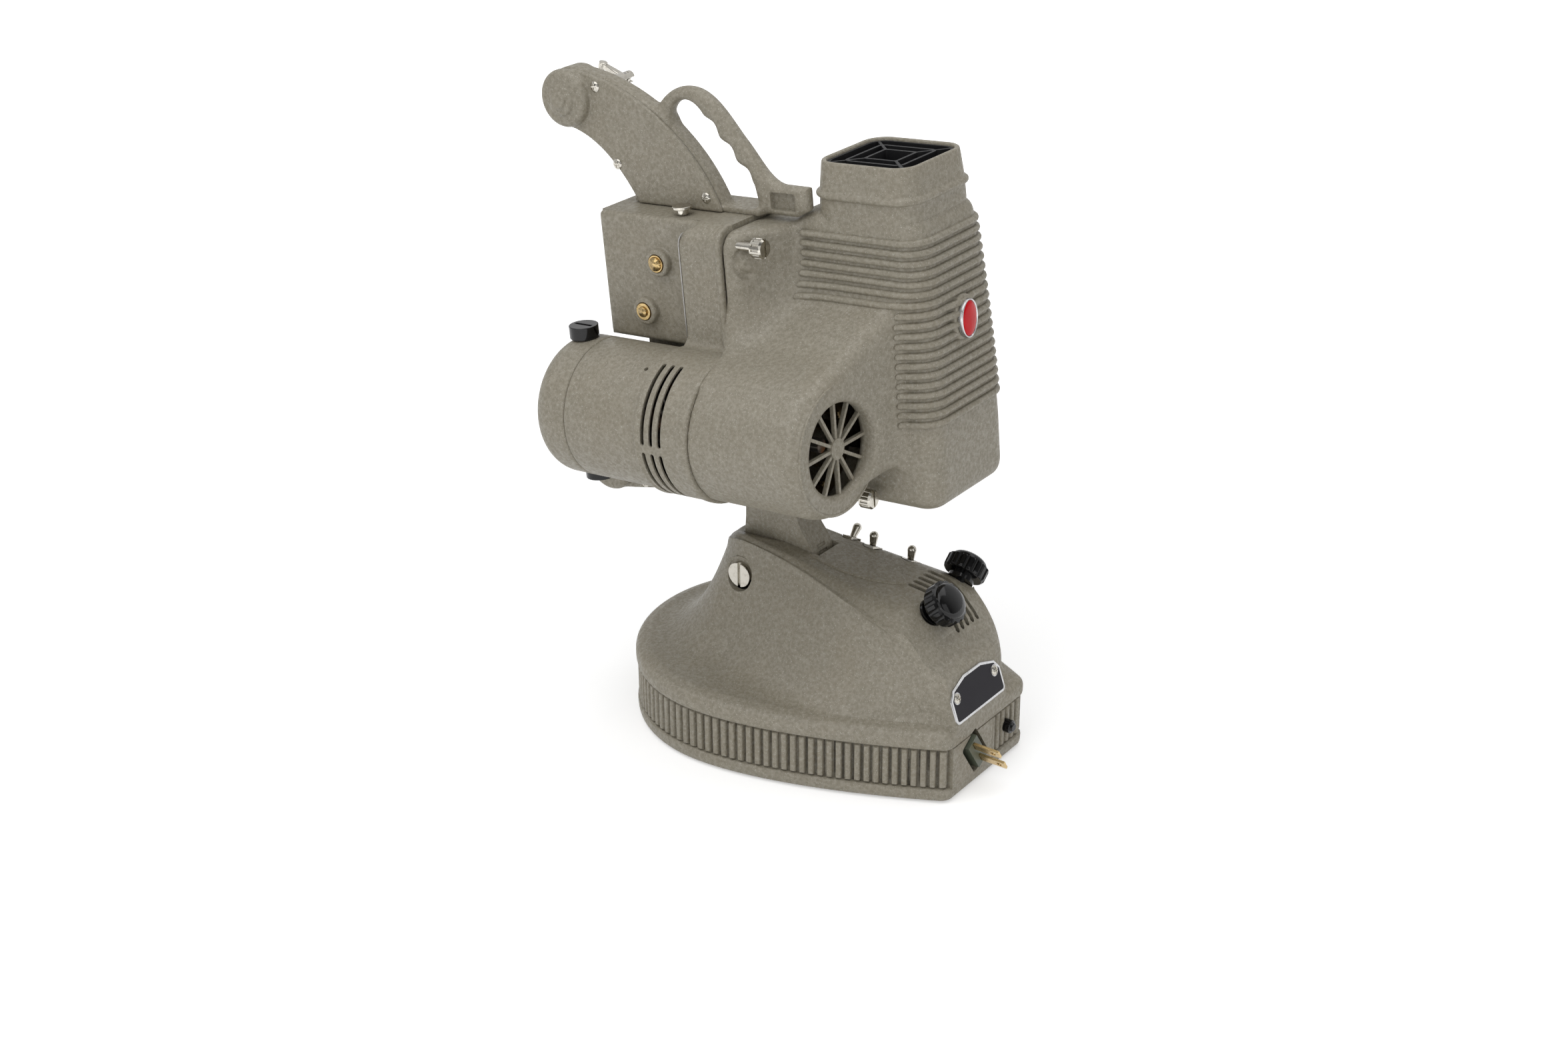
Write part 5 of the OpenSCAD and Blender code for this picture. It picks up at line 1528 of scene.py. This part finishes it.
@dataclass
class GearCover:
    """The near cover of the gear case: a plate, a raised belt housing and the motor's ring."""

    axis_y: float = MOTOR_AXIS[0]
    axis_z: float = MOTOR_AXIS[1]
    ring_r: float = 42.42
    ring_x: Tuple[float, float] = (-62.0, -25.3)
    raised_x: Tuple[float, float] = (-62.0, -33.0)
    raised_near_y: float = -48.0
    raised_top_z: float = 313.8
    raised_corner_r: float = 12.0
    shafts: Tuple[Tuple[float, float], ...] = ((-83.4, 288.4), (-96.0, 258.7))
    vents_x: Tuple[float, ...] = (-56.0, -50.0, -44.0)
    vents: Tuple[Tuple[float, float], ...] = ((111.0, 180.0), (186.0, 243.0))
    vent_w: float = 2.6

    def __post_init__(self) -> None:
        """Works out the raised part's outline."""
        front, rear = self.raised_x
        r = self.raised_corner_r
        self.corner = (front + r, self.raised_top_z - r)
        self.raised = Outline(np.concatenate([[[rear, 236], [rear, self.raised_top_z]],
                                              arc(self.corner, r, 90, 180, 10), [[front, 236]]]))

    def build(self, maker: Maker) -> None:
        """Makes the cover, hollows it and dresses it.

        Args:
            maker: settles the pieces.
        """

        def field(x: Array, y: Array, z: Array) -> Array:
            """The cover's distance, cut flat against the case, which steps back under the plate.

            Args:
                x: rearwards, in millimetres of the head.
                y: across, away from the viewer.
                z: upwards.

            Returns:
                The distance, negative inside.
            """
            upper = np.maximum(239.4 - z, -34 - y)
            lower = -18.02 - y
            return np.maximum(self._solid(x, y, z), -np.minimum(upper, lower))

        cover = net_surface("gear_cover_casting", field, (-130, -105, 158), (-22, -15, 318),
                            (1.1, 1.25, 1.25), from_head)
        y, z = self.axis_y, self.axis_z
        axis = along_x_axis(y, z)
        cutters = [prism("room", disc(40.8, 72), -64, -31.3, from_head, axis),
                   prism("room", disc(39.5, 72), -28.3, -20, from_head, axis),
                   prism("hub", disc(8.05), -40, -20, from_head, axis),
                   box("belt room", (-59, -45, 254), (-30, -33, 300), from_head)]
        for q in np.radians((45, 135, 225, 315)):
            hole = disc(9) + 24 * np.array([-math.sin(q), math.cos(q)])
            cutters.append(prism("hole", hole, -34, -20, from_head, axis))
        cutters += [prism("bore", disc(5.5), -60, -20, from_head, along_y_axis(*s)) for s in self.shafts]
        cutters += [self._vent(at, *span) for at in self.vents_x for span in self.vents]
        carve(cover, cutters)
        maker.settle(cover, "gear_cover", Slot.ENAMEL, 46, None, True)
        # painted highlight: a thin bright metal tube along the raised part's front edge
        maker.settle(self._painted_highlight_edge(), "gear_cover", Slot.ENAMEL, 60, maker.finishes.of[Slot.SHEET])

    def _painted_highlight_edge(self, inset: float = 0.3) -> bpy.types.Object:
        """A painted highlight: a thin bright metal line along the raised part's front edge, standing for the
        light it catches.

        Args:
            inset: how far inside the outline.

        Returns:
            The line as a thin tube.
        """
        down = [[self.raised_x[0] + inset, z] for z in np.linspace(298, 247, 14)]
        edge = np.concatenate([arc(self.corner, self.raised_corner_r - inset, 128, 180, 12), down])
        points = np.column_stack([edge[:, 0], np.full(len(edge), self.raised_near_y + 0.45), edge[:, 1]])
        return tube("gear_cover_painted_highlight_edge", points, 0.42, 8, from_head)

    def _solid(self, x: Array, y: Array, z: Array) -> Array:
        """Distance to the plate, the raised part, the ring and the bosses, joined with fillets.

        Args:
            x: rearwards, in millimetres of the head.
            y: across, away from the viewer.
            z: upwards.

        Returns:
            The distance, negative inside.
        """
        plate = smooth_most(round_box(x + 80, z - 277, 47, 37, 3), np.abs(y + 30) - 8, 3.2)
        near, top = self.raised_near_y, self.raised_top_z
        raised = slab(self.raised.far(x, z), y, near, -24, 2.2)
        raised = smooth_most(raised, round_corner(y, z, near, top, 10), 1)
        across = np.hypot(y - self.axis_y, z - self.axis_z)
        ring = rod(across, x, self.ring_x[0], self.ring_x[1], 41.9, 1.4)
        bead = rod(across, x, -31.4, self.ring_x[1], self.ring_r, 1.5)
        rim = rod(across, x, self.ring_x[0], -59.6, 42.3, 1.0)
        rolled = np.maximum(np.hypot(x + 34.3, round_corner(y, z, near + 0.7, top - 0.6, 9.6)) - 1.7, 240 - z)
        solid = smooth_least(raised, ring, 7)
        solid = smooth_least(smooth_least(solid, bead, 0.8), rim, 0.8)
        solid = smooth_least(smooth_least(solid, plate, 3), rolled, 0.9)
        for sx, sz in self.shafts:
            solid = smooth_least(solid, rod(np.hypot(x - sx, z - sz), y, -43, -33, 8, 1.4), 1.6)
        return solid

    def _vent(self, at: float, start: float, stop: float) -> bpy.types.Object:
        """A cutter for one vent: a round-ended slot along the ring, carried outwards through its wall.

        Args:
            at: place along the axis.
            start: angle in degrees where it starts.
            stop: where it ends.

        Returns:
            The cutter.
        """
        half, pad = self.vent_w / 2, math.degrees(self.vent_w / 2 / 42)
        q = np.linspace(-90, 90, 9)
        high = np.stack([at + half * np.sin(np.radians(q)), stop - pad + pad * np.cos(np.radians(q))], -1)
        low = np.stack([at - half * np.sin(np.radians(q)), start + pad - pad * np.cos(np.radians(q))], -1)
        down = np.stack([np.full(14, at + half), np.linspace(stop - pad, start + pad, 16)[1:-1]], -1)
        up = np.stack([np.full(14, at - half), np.linspace(start + pad, stop - pad, 16)[1:-1]], -1)
        loop = np.concatenate([high, down, low, up])
        t = np.radians(loop[:, 1])
        rings = [np.column_stack([loop[:, 0], self.axis_y + r * np.cos(t), self.axis_z + r * np.sin(t)])
                 for r in (35.0, 52.0)]
        return closed_loft("vent", np.stack(rings), from_head)


@dataclass
class ReelArms:
    """The two reel arms with their drums and cover plates, and the handle cast on the upper one."""

    upper: Tuple[float, float] = (-158.5, 372.5)
    lower: Tuple[float, float] = (-155.0, 147.5)
    drum_r: float = 16.85
    near_y: float = -15.0
    far_y: float = -3.0

    def _upper_outline(self) -> Array:
        """Side view of the upper arm."""
        outer = curve((-53, 314.4), (-71, 360), (-118, 385.6), (-156, 389.1), 30)
        inner = curve((-163, 355.8), (-140, 352), (-124, 334), (-113, 314.4), 20)
        return np.concatenate([outer, [[-156, 389.1]], inner, [[-113, 314.4]]])

    def _lower_outline(self) -> Array:
        """Side view of the lower arm."""
        upper = curve((-116.3, 186), (-124, 178), (-140, 165), (-158, 164.6), 16)
        under = curve((-155, 130.5), (-140, 133), (-128, 134), (-116.3, 137), 12)
        return np.concatenate([upper, under, [[-116.3, 137]]])

    def _handle_outline(self) -> Array:
        """Side view of the handle: its inner edge is a straight line with three waves for the fingers."""
        t = np.linspace(0, 1, 40)[:, None]
        grip = mix(np.array([-34.0, 330.0]), np.array([-66.0, 367.0]), t)
        grip = grip + 1.3 * (1 - np.cos(6 * np.pi * t)) * np.array([0.757, 0.653])
        return np.concatenate([curve((-104, 362), (-97, 374), (-88, 382.5), (-75, 382.5), 14),
                               curve((-75, 382.5), (-58, 382.5), (-48, 364), (-38.6, 353.9), 14),
                               curve((-38.6, 353.9), (-29, 343), (-24, 331.5), (-12, 331.5), 14),
                               [[2.6, 331.5], [2.6, 318.5], [-6.5, 314], [-31, 314.3], [-31, 316]], grip,
                               curve((-66, 367), (-72, 376.5), (-84, 378), (-89, 366), 14), [[-91, 356]]])

    def _arm(self, axis: Tuple[float, float], flat: Outline, handle: Optional[Outline],
             foot: Tuple[Sequence[float], Sequence[float]]) -> Callable[[Array, Array, Array], Array]:
        """Distance to one arm's casting.

        Args:
            axis: X and Z of its spindle.
            flat: its side view.
            handle: the handle's side view, or None.
            foot: corners of its foot on the case.

        Returns:
            The distance as a function of x, y and z.
        """
        def field(x: Array, y: Array, z: Array) -> Array:
            """Slab, drum, hub, foot and handle joined, less the spindle's bore and the bracket's pocket.

            Args:
                x: rearwards, in millimetres of the head.
                y: across, away from the viewer.
                z: upwards.

            Returns:
                The distance, negative inside.
            """
            across = np.hypot(x - axis[0], z - axis[1])
            solid = slab(flat.far(x, z), y, self.near_y, self.far_y, 2.6)
            solid = smooth_least(solid, rod(across, y, self.near_y, -1, self.drum_r, 1.6), 1.4)
            solid = smooth_least(solid, rod(across, y, -4, 12, 9, 1.2), 3)
            solid = smooth_least(solid, block((x, y, z), foot[0], foot[1], 0.8), 2)
            if handle is not None:
                solid = smooth_least(solid, slab(handle.far(x, z), y, -13, -3, 5.5), 5)
                pocket = block((x, y, z), (-22, -30, 318), (-5.5, -8.5, 327.5), 1.0)
                solid = smooth_most(solid, -pocket, 1.2)
            return np.maximum(solid, 3.55 - across)

        return field

    def _plate(self, axis: Tuple[float, float], flat: Outline) -> Callable[[Array, Array, Array], Array]:
        """Distance to a cover plate with its stepped, domed drum end.

        Args:
            axis: X and Z of the spindle.
            flat: the arm's side view.

        Returns:
            The distance as a function of x, y and z.
        """
        def field(x: Array, y: Array, z: Array) -> Array:
            """A thin slab joined to three steps of a round boss.

            Args:
                x: rearwards, in millimetres of the head.
                y: across, away from the viewer.
                z: upwards.

            Returns:
                The distance, negative inside.
            """
            across = np.hypot(x - axis[0], z - axis[1])
            solid = slab(flat.far(x, z), y, -18, -15.02, 1.4)
            solid = smooth_least(solid, rod(across, y, -24, -15.02, self.drum_r, 4), 1.4)
            solid = smooth_least(solid, rod(across, y, -26.4, -20, 9.2, 1.4), 1.8)
            return smooth_least(solid, rod(across, y, -28, -20, 5.2, 1.2), 1.0)

        return field

    def build(self, maker: Maker) -> None:
        """Makes both arms and both plates.

        Args:
            maker: settles the pieces.
        """
        handle = Outline(self._handle_outline())
        jobs = (("supply_arm", self.upper, self._upper_outline(), handle,
                 ((-118, -15, 314.05), (-30, 8, 317)), (-180, 310), (7, 394)),
                ("take_up_arm", self.lower, self._lower_outline(), None,
                 ((-126, -15, 158), (-116.05, 6, 184)), (-176, 126), (-112, 190)))
        for node, axis, points, grip, foot, low, high in jobs:
            flat = Outline(points)
            arm = net_surface(node + "_casting", self._arm(axis, flat, grip, foot), (low[0], -18, low[1]),
                              (high[0], 14, high[1]), (1.25, 1.0, 1.25), from_head)
            maker.settle(arm, node, Slot.ENAMEL, 50)
            right = -50 if grip is not None else high[0]
            plate = net_surface(node + "_cover", self._plate(axis, flat), (low[0], -30, low[1]),
                                (right, -13.5, high[1]), (1.15, 0.9, 1.15), from_head)
            maker.settle(plate, node + "_plate", Slot.ENAMEL, 50)


@dataclass
class Motor:
    """The motor's barrel and its rounded end cap, turned about the motor's axis."""

    axis_y: float = MOTOR_AXIS[0]
    axis_z: float = MOTOR_AXIS[1]
    radius: float = 40.5
    wall: float = 2.5
    end_x: float = -115.0
    cap_l: float = 27.0
    cap_round: float = 14.0
    rear_x: float = -58.6
    oil_x: float = -67.1
    oil_angle: float = 118.0

    def _turn(self, a: Array, r: Array, t: Array) -> Array:
        """Places a turned profile about the motor's axis."""
        return np.stack([a, self.axis_y + r * np.cos(t), self.axis_z + r * np.sin(t)], -1)

    def _spoke(self, q: Array) -> Array:
        """Maps a flat outline and a height to a place outwards from the axis, through the oil hole.

        Args:
            q: rows of two coordinates and a height.

        Returns:
            Rows of x, y, z.
        """
        c, s = math.cos(math.radians(self.oil_angle)), math.sin(math.radians(self.oil_angle))
        return np.column_stack([self.oil_x + q[:, 0], self.axis_y - q[:, 1] * s + q[:, 2] * c,
                                self.axis_z + q[:, 1] * c + q[:, 2] * s])

    def build(self, maker: Maker) -> None:
        """Makes the barrel and the cap.

        Args:
            maker: settles the pieces.
        """
        r, w, x = self.radius, self.wall, self.end_x
        barrel = [(x + 0.1, r - w), (x + 0.1, r - 1.1), (x + 0.35, r - 0.5), (x + 0.9, r - 0.12),
                  (x + 1.8, r), (x + 20, r), (self.rear_x, r), (self.rear_x, r - w)]
        case = lathe("motor_tube", barrel, from_head, self._turn, 128)
        carve(case, [prism("oil hole", disc(1.3, 20), 36, 44, from_head, self._spoke)])
        maker.settle(case, "motor_barrel", Slot.ENAMEL, 40)
        low, k = x - self.cap_l, self.cap_round
        t = np.linspace(0, np.pi / 2, 18)
        dome = [(low + k - k * math.cos(v), r - k + k * math.sin(v)) for v in t]
        hollow = [(low + k - (k - w) * math.cos(v), r - k + (k - w) * math.sin(v)) for v in t[::-1]]
        lip = [(x - 4, r), (x - 2.6, r + 0.05), (x - 1.4, r - 0.1), (x - 0.5, r - 0.55), (x - 0.1, r - 1.2)]
        hub = [(low + w, 8), (low + w + 10, 8), (low + w + 10, 0.02)]
        cap = [(low, 0.02), (low, 12), *dome, *lip, (x - 0.1, r - w), *hollow, *hub]
        end = lathe("motor_cap", cap, from_head, self._turn, 128)
        axis = along_x_axis(self.axis_y, self.axis_z)
        shaft = prism("shaft bore", disc(4.05), low + 5, x + 1, from_head, axis)
        caps = prism("cap holes", disc(6.3), 140, 268, from_head,
                     lambda q: np.column_stack([x - 13 + q[:, 0], self.axis_y + q[:, 1], q[:, 2]]))
        carve(end, [shaft, caps])
        maker.settle(end, "motor_end_cap", Slot.ENAMEL, 40)


@dataclass
class Plates:
    """The label plate with its bare rim and dark face, and the red badge in its ring."""

    label_at: Tuple[float, float, float] = (102.02, -9.0, 49.0)
    label_lean: float = -19.1
    screws_y: Tuple[float, float] = (-20.0, 20.0)
    screws_z: float = 14.5
    badge_at: Tuple[float, float, float] = (79.3, 24.0, 257.0)
    badge_half: Tuple[float, float] = (7.5, 10.6)

    def _label_outline(self, inset: float) -> Array:
        """The plate's outline: two round lower corners, a shouldered top.

        Args:
            inset: how far inside the plate's edge.

        Returns:
            Rows of across and up.
        """
        k = inset
        right = np.array([[26 - k, 14.5 - 0.2 * k], [22 - 0.75 * k, 20 - 0.75 * k], [9 - 0.3 * k, 24.2 - k]])
        return np.concatenate([arc((-23, 3), 3 - k, 180, 270, 6), arc((23, 3), 3 - k, 270, 360, 6),
                               right, right[::-1] * [-1, 1]])

    def _leaned(self, points: Array) -> Array:
        """Leans points of the upright label on to its rest."""
        lean = np.array(Matrix.Rotation(math.radians(self.label_lean), 3, "Y"))
        return points @ lean.T + np.array(self.label_at)

    def _sheet(self, name: str, rows: Sequence[Tuple[float, float]], hole: Array) -> bpy.types.Object:
        """A closed plate through inset outlines at heights over its rest, with a hole at each screw.

        Args:
            name: name of the piece.
            rows: inset and height of each outline.
            hole: outline of the holes.

        Returns:
            The plate.
        """
        rings = []
        for inset, height in rows:
            flat = self._label_outline(inset)
            rings.append(self._leaned(np.column_stack([np.full(len(flat), height), flat])))
        plate = closed_loft(name, np.stack(rings), from_base)
        cutters = [prism("hole", hole, -3, 4, from_base, self._on_label(y)) for y in self.screws_y]
        carve(plate, cutters)
        return plate

    def _badge_rings(self, rows: Sequence[Tuple[float, float]]) -> Array:
        """The badge's oval, moved outwards and along X by each row.

        Args:
            rows: growth and reach along X of each ring.

        Returns:
            Rings by points by three.
        """
        q = np.linspace(0, 2 * np.pi, 64, endpoint=False)
        (x, y, z), (half_y, half_z) = self.badge_at, self.badge_half
        return np.stack([np.column_stack([np.full(64, x + out), y + (half_y + grow) * np.cos(q),
                                          z + (half_z + grow) * np.sin(q)]) for grow, out in rows])

    def build(self, maker: Maker, face: bpy.types.Material) -> None:
        """Makes the label and the badge.

        Args:
            maker: settles the pieces.
            face: the label's dark lacquer.
        """
        plate = self._sheet("label_rim", [(0.0, 0.02), (0.0, 0.7), (0.15, 0.9), (0.45, 0.98)], disc(1.6, 24))
        maker.settle(plate, "label_plate", Slot.LABEL, 30, None, True)
        ink = self._sheet("label_face", [(1.5, 0.9), (1.5, 1.02), (1.6, 1.04)], disc(3.5, 32))
        maker.settle(ink, "label_plate", Slot.LABEL, 30, face, True)
        rim = [(0.6, -0.6), (0.6, 1.7), (0.35, 2.1), (0.0, 2.2), (-0.3, 2.0), (-0.5, 1.5)]
        ring = closed_loft("badge_rim", self._badge_rings(rim), from_head)
        maker.settle(ring, "badge", Slot.BADGE, 40, maker.finishes.of[Slot.LABEL])
        dome = [(-0.5, 1.0), (-0.5, 1.7)]
        dome += [(-0.5 - 8.0 * (1 - math.cos(v)), 1.7 + 1.1 * math.sin(v)) for v in np.linspace(0.3, 1.45, 8)]
        face_of_badge = closed_loft("badge_dome", self._badge_rings(dome), from_head)
        maker.settle(face_of_badge, "badge", Slot.BADGE, 60)

    def _on_label(self, across: float) -> Callable[[Array], Array]:
        """Maps a flat outline and a height to a place on the label, upright to its face."""
        return lambda q: self._leaned(np.column_stack([q[:, 2], q[:, 0] + across, q[:, 1] + self.screws_z]))


# Width in millimetres of the broken edges of pieces that come straight from the CAD
BROKEN_EDGES = {"neck_arm": 1.2, "gear_case": 1.0, "speed_knob": 0.25, "tilt_knob": 0.25, "plug_body": 0.8,
                "louver": 0.25, "brush_caps": 0.5, "pivot_screw": 0.3, "toggle_switches": 0.3,
                "inlet_grille": 0.35, "upper_thumb_screw": 0.25, "lower_thumb_screw": 0.25,
                "rewind_knob": 0.4, "release_button": 0.3, "shaft_bushes": 0.2, "label_screws": 0.1,
                "arm_screws": 0.1}


def main() -> None:
    """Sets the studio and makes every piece."""
    scene = bpy.context.scene
    scene.view_settings.view_transform = "Standard"
    finishes = Finishes()
    maker = Maker(finishes)
    Studio().build()
    BaseCover().build(maker)
    LampHouse().build(maker)
    GearCover().build(maker)
    ReelArms().build(maker)
    Motor().build(maker)
    Plates().build(maker, Moulded("dark lacquer", written(30, 28, 34), 0.45, 0.2).make())
    made = {n for o in bpy.data.objects for n in o.get("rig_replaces", [])}
    for node in frame["nodes"]:
        if node not in made:
            maker.copy(node, BROKEN_EDGES.get(node, 0.0), 40.0, finishes.special.get(node))


@dataclass
class Studio:
    """Camera at the photograph's place, pale floor, white surround and four soft lamps."""

    place: Tuple[float, float, float] = (0.72514, -0.98600, 0.71840)
    azimuth: float = 36.242
    elevation: float = 25.844
    roll: float = -0.4
    lens: float = 52.806
    surround: float = 0.42
    dark_side: Tuple[float, float, float] = (0.59, -0.807, 0.0)
    floor_half: float = 3.4
    floor_z: float = -0.0002

    def build(self) -> None:
        """Adds camera, floor, world and lamps."""
        self._camera()
        self._floor()
        self._world()
        self._lamp("key", (-0.25, -0.95, 1.9), (0.0, 0.0, 0.1), 1.9, 17.2)
        self._lamp("fill", (1.6, -0.7, 0.7), (0.0, 0.0, 0.15), 1.4, 5.0)
        self._lamp("top", (0.25, 0.5, 1.7), (0.0, 0.0, 0.25), 1.2, 5.0)
        self._lamp("low", (0.1, -1.5, 0.35), (0.0, 0.0, 0.06), 1.0, 2.8)
        LOG.info("studio")

    def _camera(self) -> None:
        """Sets the fitted camera."""
        a, e, r = (math.radians(v) for v in (self.azimuth, self.elevation, self.roll))
        right = Vector((math.cos(a), math.sin(a), 0))
        back = Vector((math.sin(a) * math.cos(e), -math.cos(a) * math.cos(e), math.sin(e)))
        up = back.cross(right)
        c, s = math.cos(r), math.sin(r)
        x, y = right * c + up * s, up * c - right * s
        data = bpy.data.cameras.new("camera")
        data.lens, data.sensor_width, data.sensor_fit = self.lens, 36.0, "HORIZONTAL"
        obj = bpy.data.objects.new("camera", data)
        bpy.context.scene.collection.objects.link(obj)
        m = Matrix((x, y, back)).transposed().to_4x4()
        m.translation = Vector(self.place)
        obj.matrix_world = m
        bpy.context.scene.camera = obj

    def _floor(self) -> None:
        """A wide pale sheet, lifted to white with distance where the camera or a reflection sees it."""
        n = 9
        t = np.linspace(-self.floor_half, self.floor_half, n)
        x, y = np.meshgrid(t, t, indexing="ij")
        pts = np.stack([x.ravel(), y.ravel(), np.full(x.size, self.floor_z)], -1)
        obj = mesh_object("floor", pts, grid_faces(n, n, wrap=False)[:, ::-1])
        b = Book("floor")
        far = b.node("ShaderNodeVectorMath", {"operation": "LENGTH"}, {0: b.place}, "Value")
        path = b.tree.nodes.new("ShaderNodeLightPath")
        seen = Sock(b, path.outputs["Is Camera Ray"]) + Sock(b, path.outputs["Is Glossy Ray"])
        seen = seen + Sock(b, path.outputs["Is Transmission Ray"])
        b.set({"Base Color": (0.88, 0.88, 0.88), "Roughness": 0.9, "Specular IOR Level": 0.1,
               "Emission Color": (1.0, 1.0, 1.0), "Emission Strength": seen * far.fit(0.25, 1.6, 0.4, 1.0)})
        dress(obj, b.material)

    def _world(self) -> None:
        """A white surround to the camera, darker in reflections towards one side, plain for light."""
        world = bpy.data.worlds.new("world")
        world.use_nodes = True
        tree = world.node_tree
        back = tree.nodes["Background"]
        nodes, links = tree.nodes, tree.links
        path, coords = nodes.new("ShaderNodeLightPath"), nodes.new("ShaderNodeTexCoord")
        split = nodes.new("ShaderNodeSeparateXYZ")
        links.new(coords.outputs["Generated"], split.inputs[0])

        def span(value: bpy.types.NodeSocket, low: float, high: float, out_low: float,
                 out_high: float) -> bpy.types.NodeSocket:
            """Maps one range on to another.

            Args:
                value: the input.
                low: start of its range.
                high: end of its range.
                out_low: what the start becomes.
                out_high: what the end becomes.

            Returns:
                The mapped output.
            """
            node = nodes.new("ShaderNodeMapRange")
            links.new(value, node.inputs["Value"])
            limits = {"From Min": low, "From Max": high, "To Min": out_low, "To Max": out_high}
            for key, number in limits.items():
                node.inputs[key].default_value = number
            return node.outputs[0]

        def choose(factor: bpy.types.NodeSocket, a: object, b: object) -> bpy.types.NodeSocket:
            """Takes b where the factor is 1 and a where it is 0.

            Args:
                factor: the switch.
                a: taken at 0.
                b: taken at 1.

            Returns:
                The chosen output.
            """
            node = nodes.new("ShaderNodeMix")
            links.new(factor, node.inputs["Factor"])
            for key, value in ((2, a), (3, b)):
                if isinstance(value, float):
                    node.inputs[key].default_value = value
                else:
                    links.new(value, node.inputs[key])
            return node.outputs[0]

        facing = nodes.new("ShaderNodeVectorMath")
        facing.operation = "DOT_PRODUCT"
        links.new(coords.outputs["Generated"], facing.inputs[0])
        facing.inputs[1].default_value = self.dark_side
        mirrored = span(facing.outputs["Value"], -0.3, 0.5, 0.8, 0.14)
        shown = choose(path.outputs["Is Glossy Ray"], self.surround, mirrored)
        shown = choose(path.outputs["Is Transmission Ray"], shown, 1.0)
        shown = choose(path.outputs["Is Camera Ray"], shown, 1.0)
        links.new(shown, back.inputs["Strength"])
        back.inputs["Color"].default_value = (1, 1, 1, 1)
        bpy.context.scene.world = world

    def _lamp(self, name: str, at: Sequence[float], aim: Sequence[float], size: float, power: float) -> None:
        """Adds a square soft lamp.

        Args:
            name: name of the lamp.
            at: where it hangs.
            aim: what it points at.
            size: its side in metres.
            power: its strength in watts.
        """
        data = bpy.data.lights.new(name, "AREA")
        data.size, data.energy = size, power
        obj = bpy.data.objects.new(name, data)
        bpy.context.scene.collection.objects.link(obj)
        obj.location = at
        obj.rotation_euler = (Vector(aim) - Vector(at)).to_track_quat("-Z", "Y").to_euler()


if __name__ == "__main__":
    logging.basicConfig(level=logging.INFO)
    main()
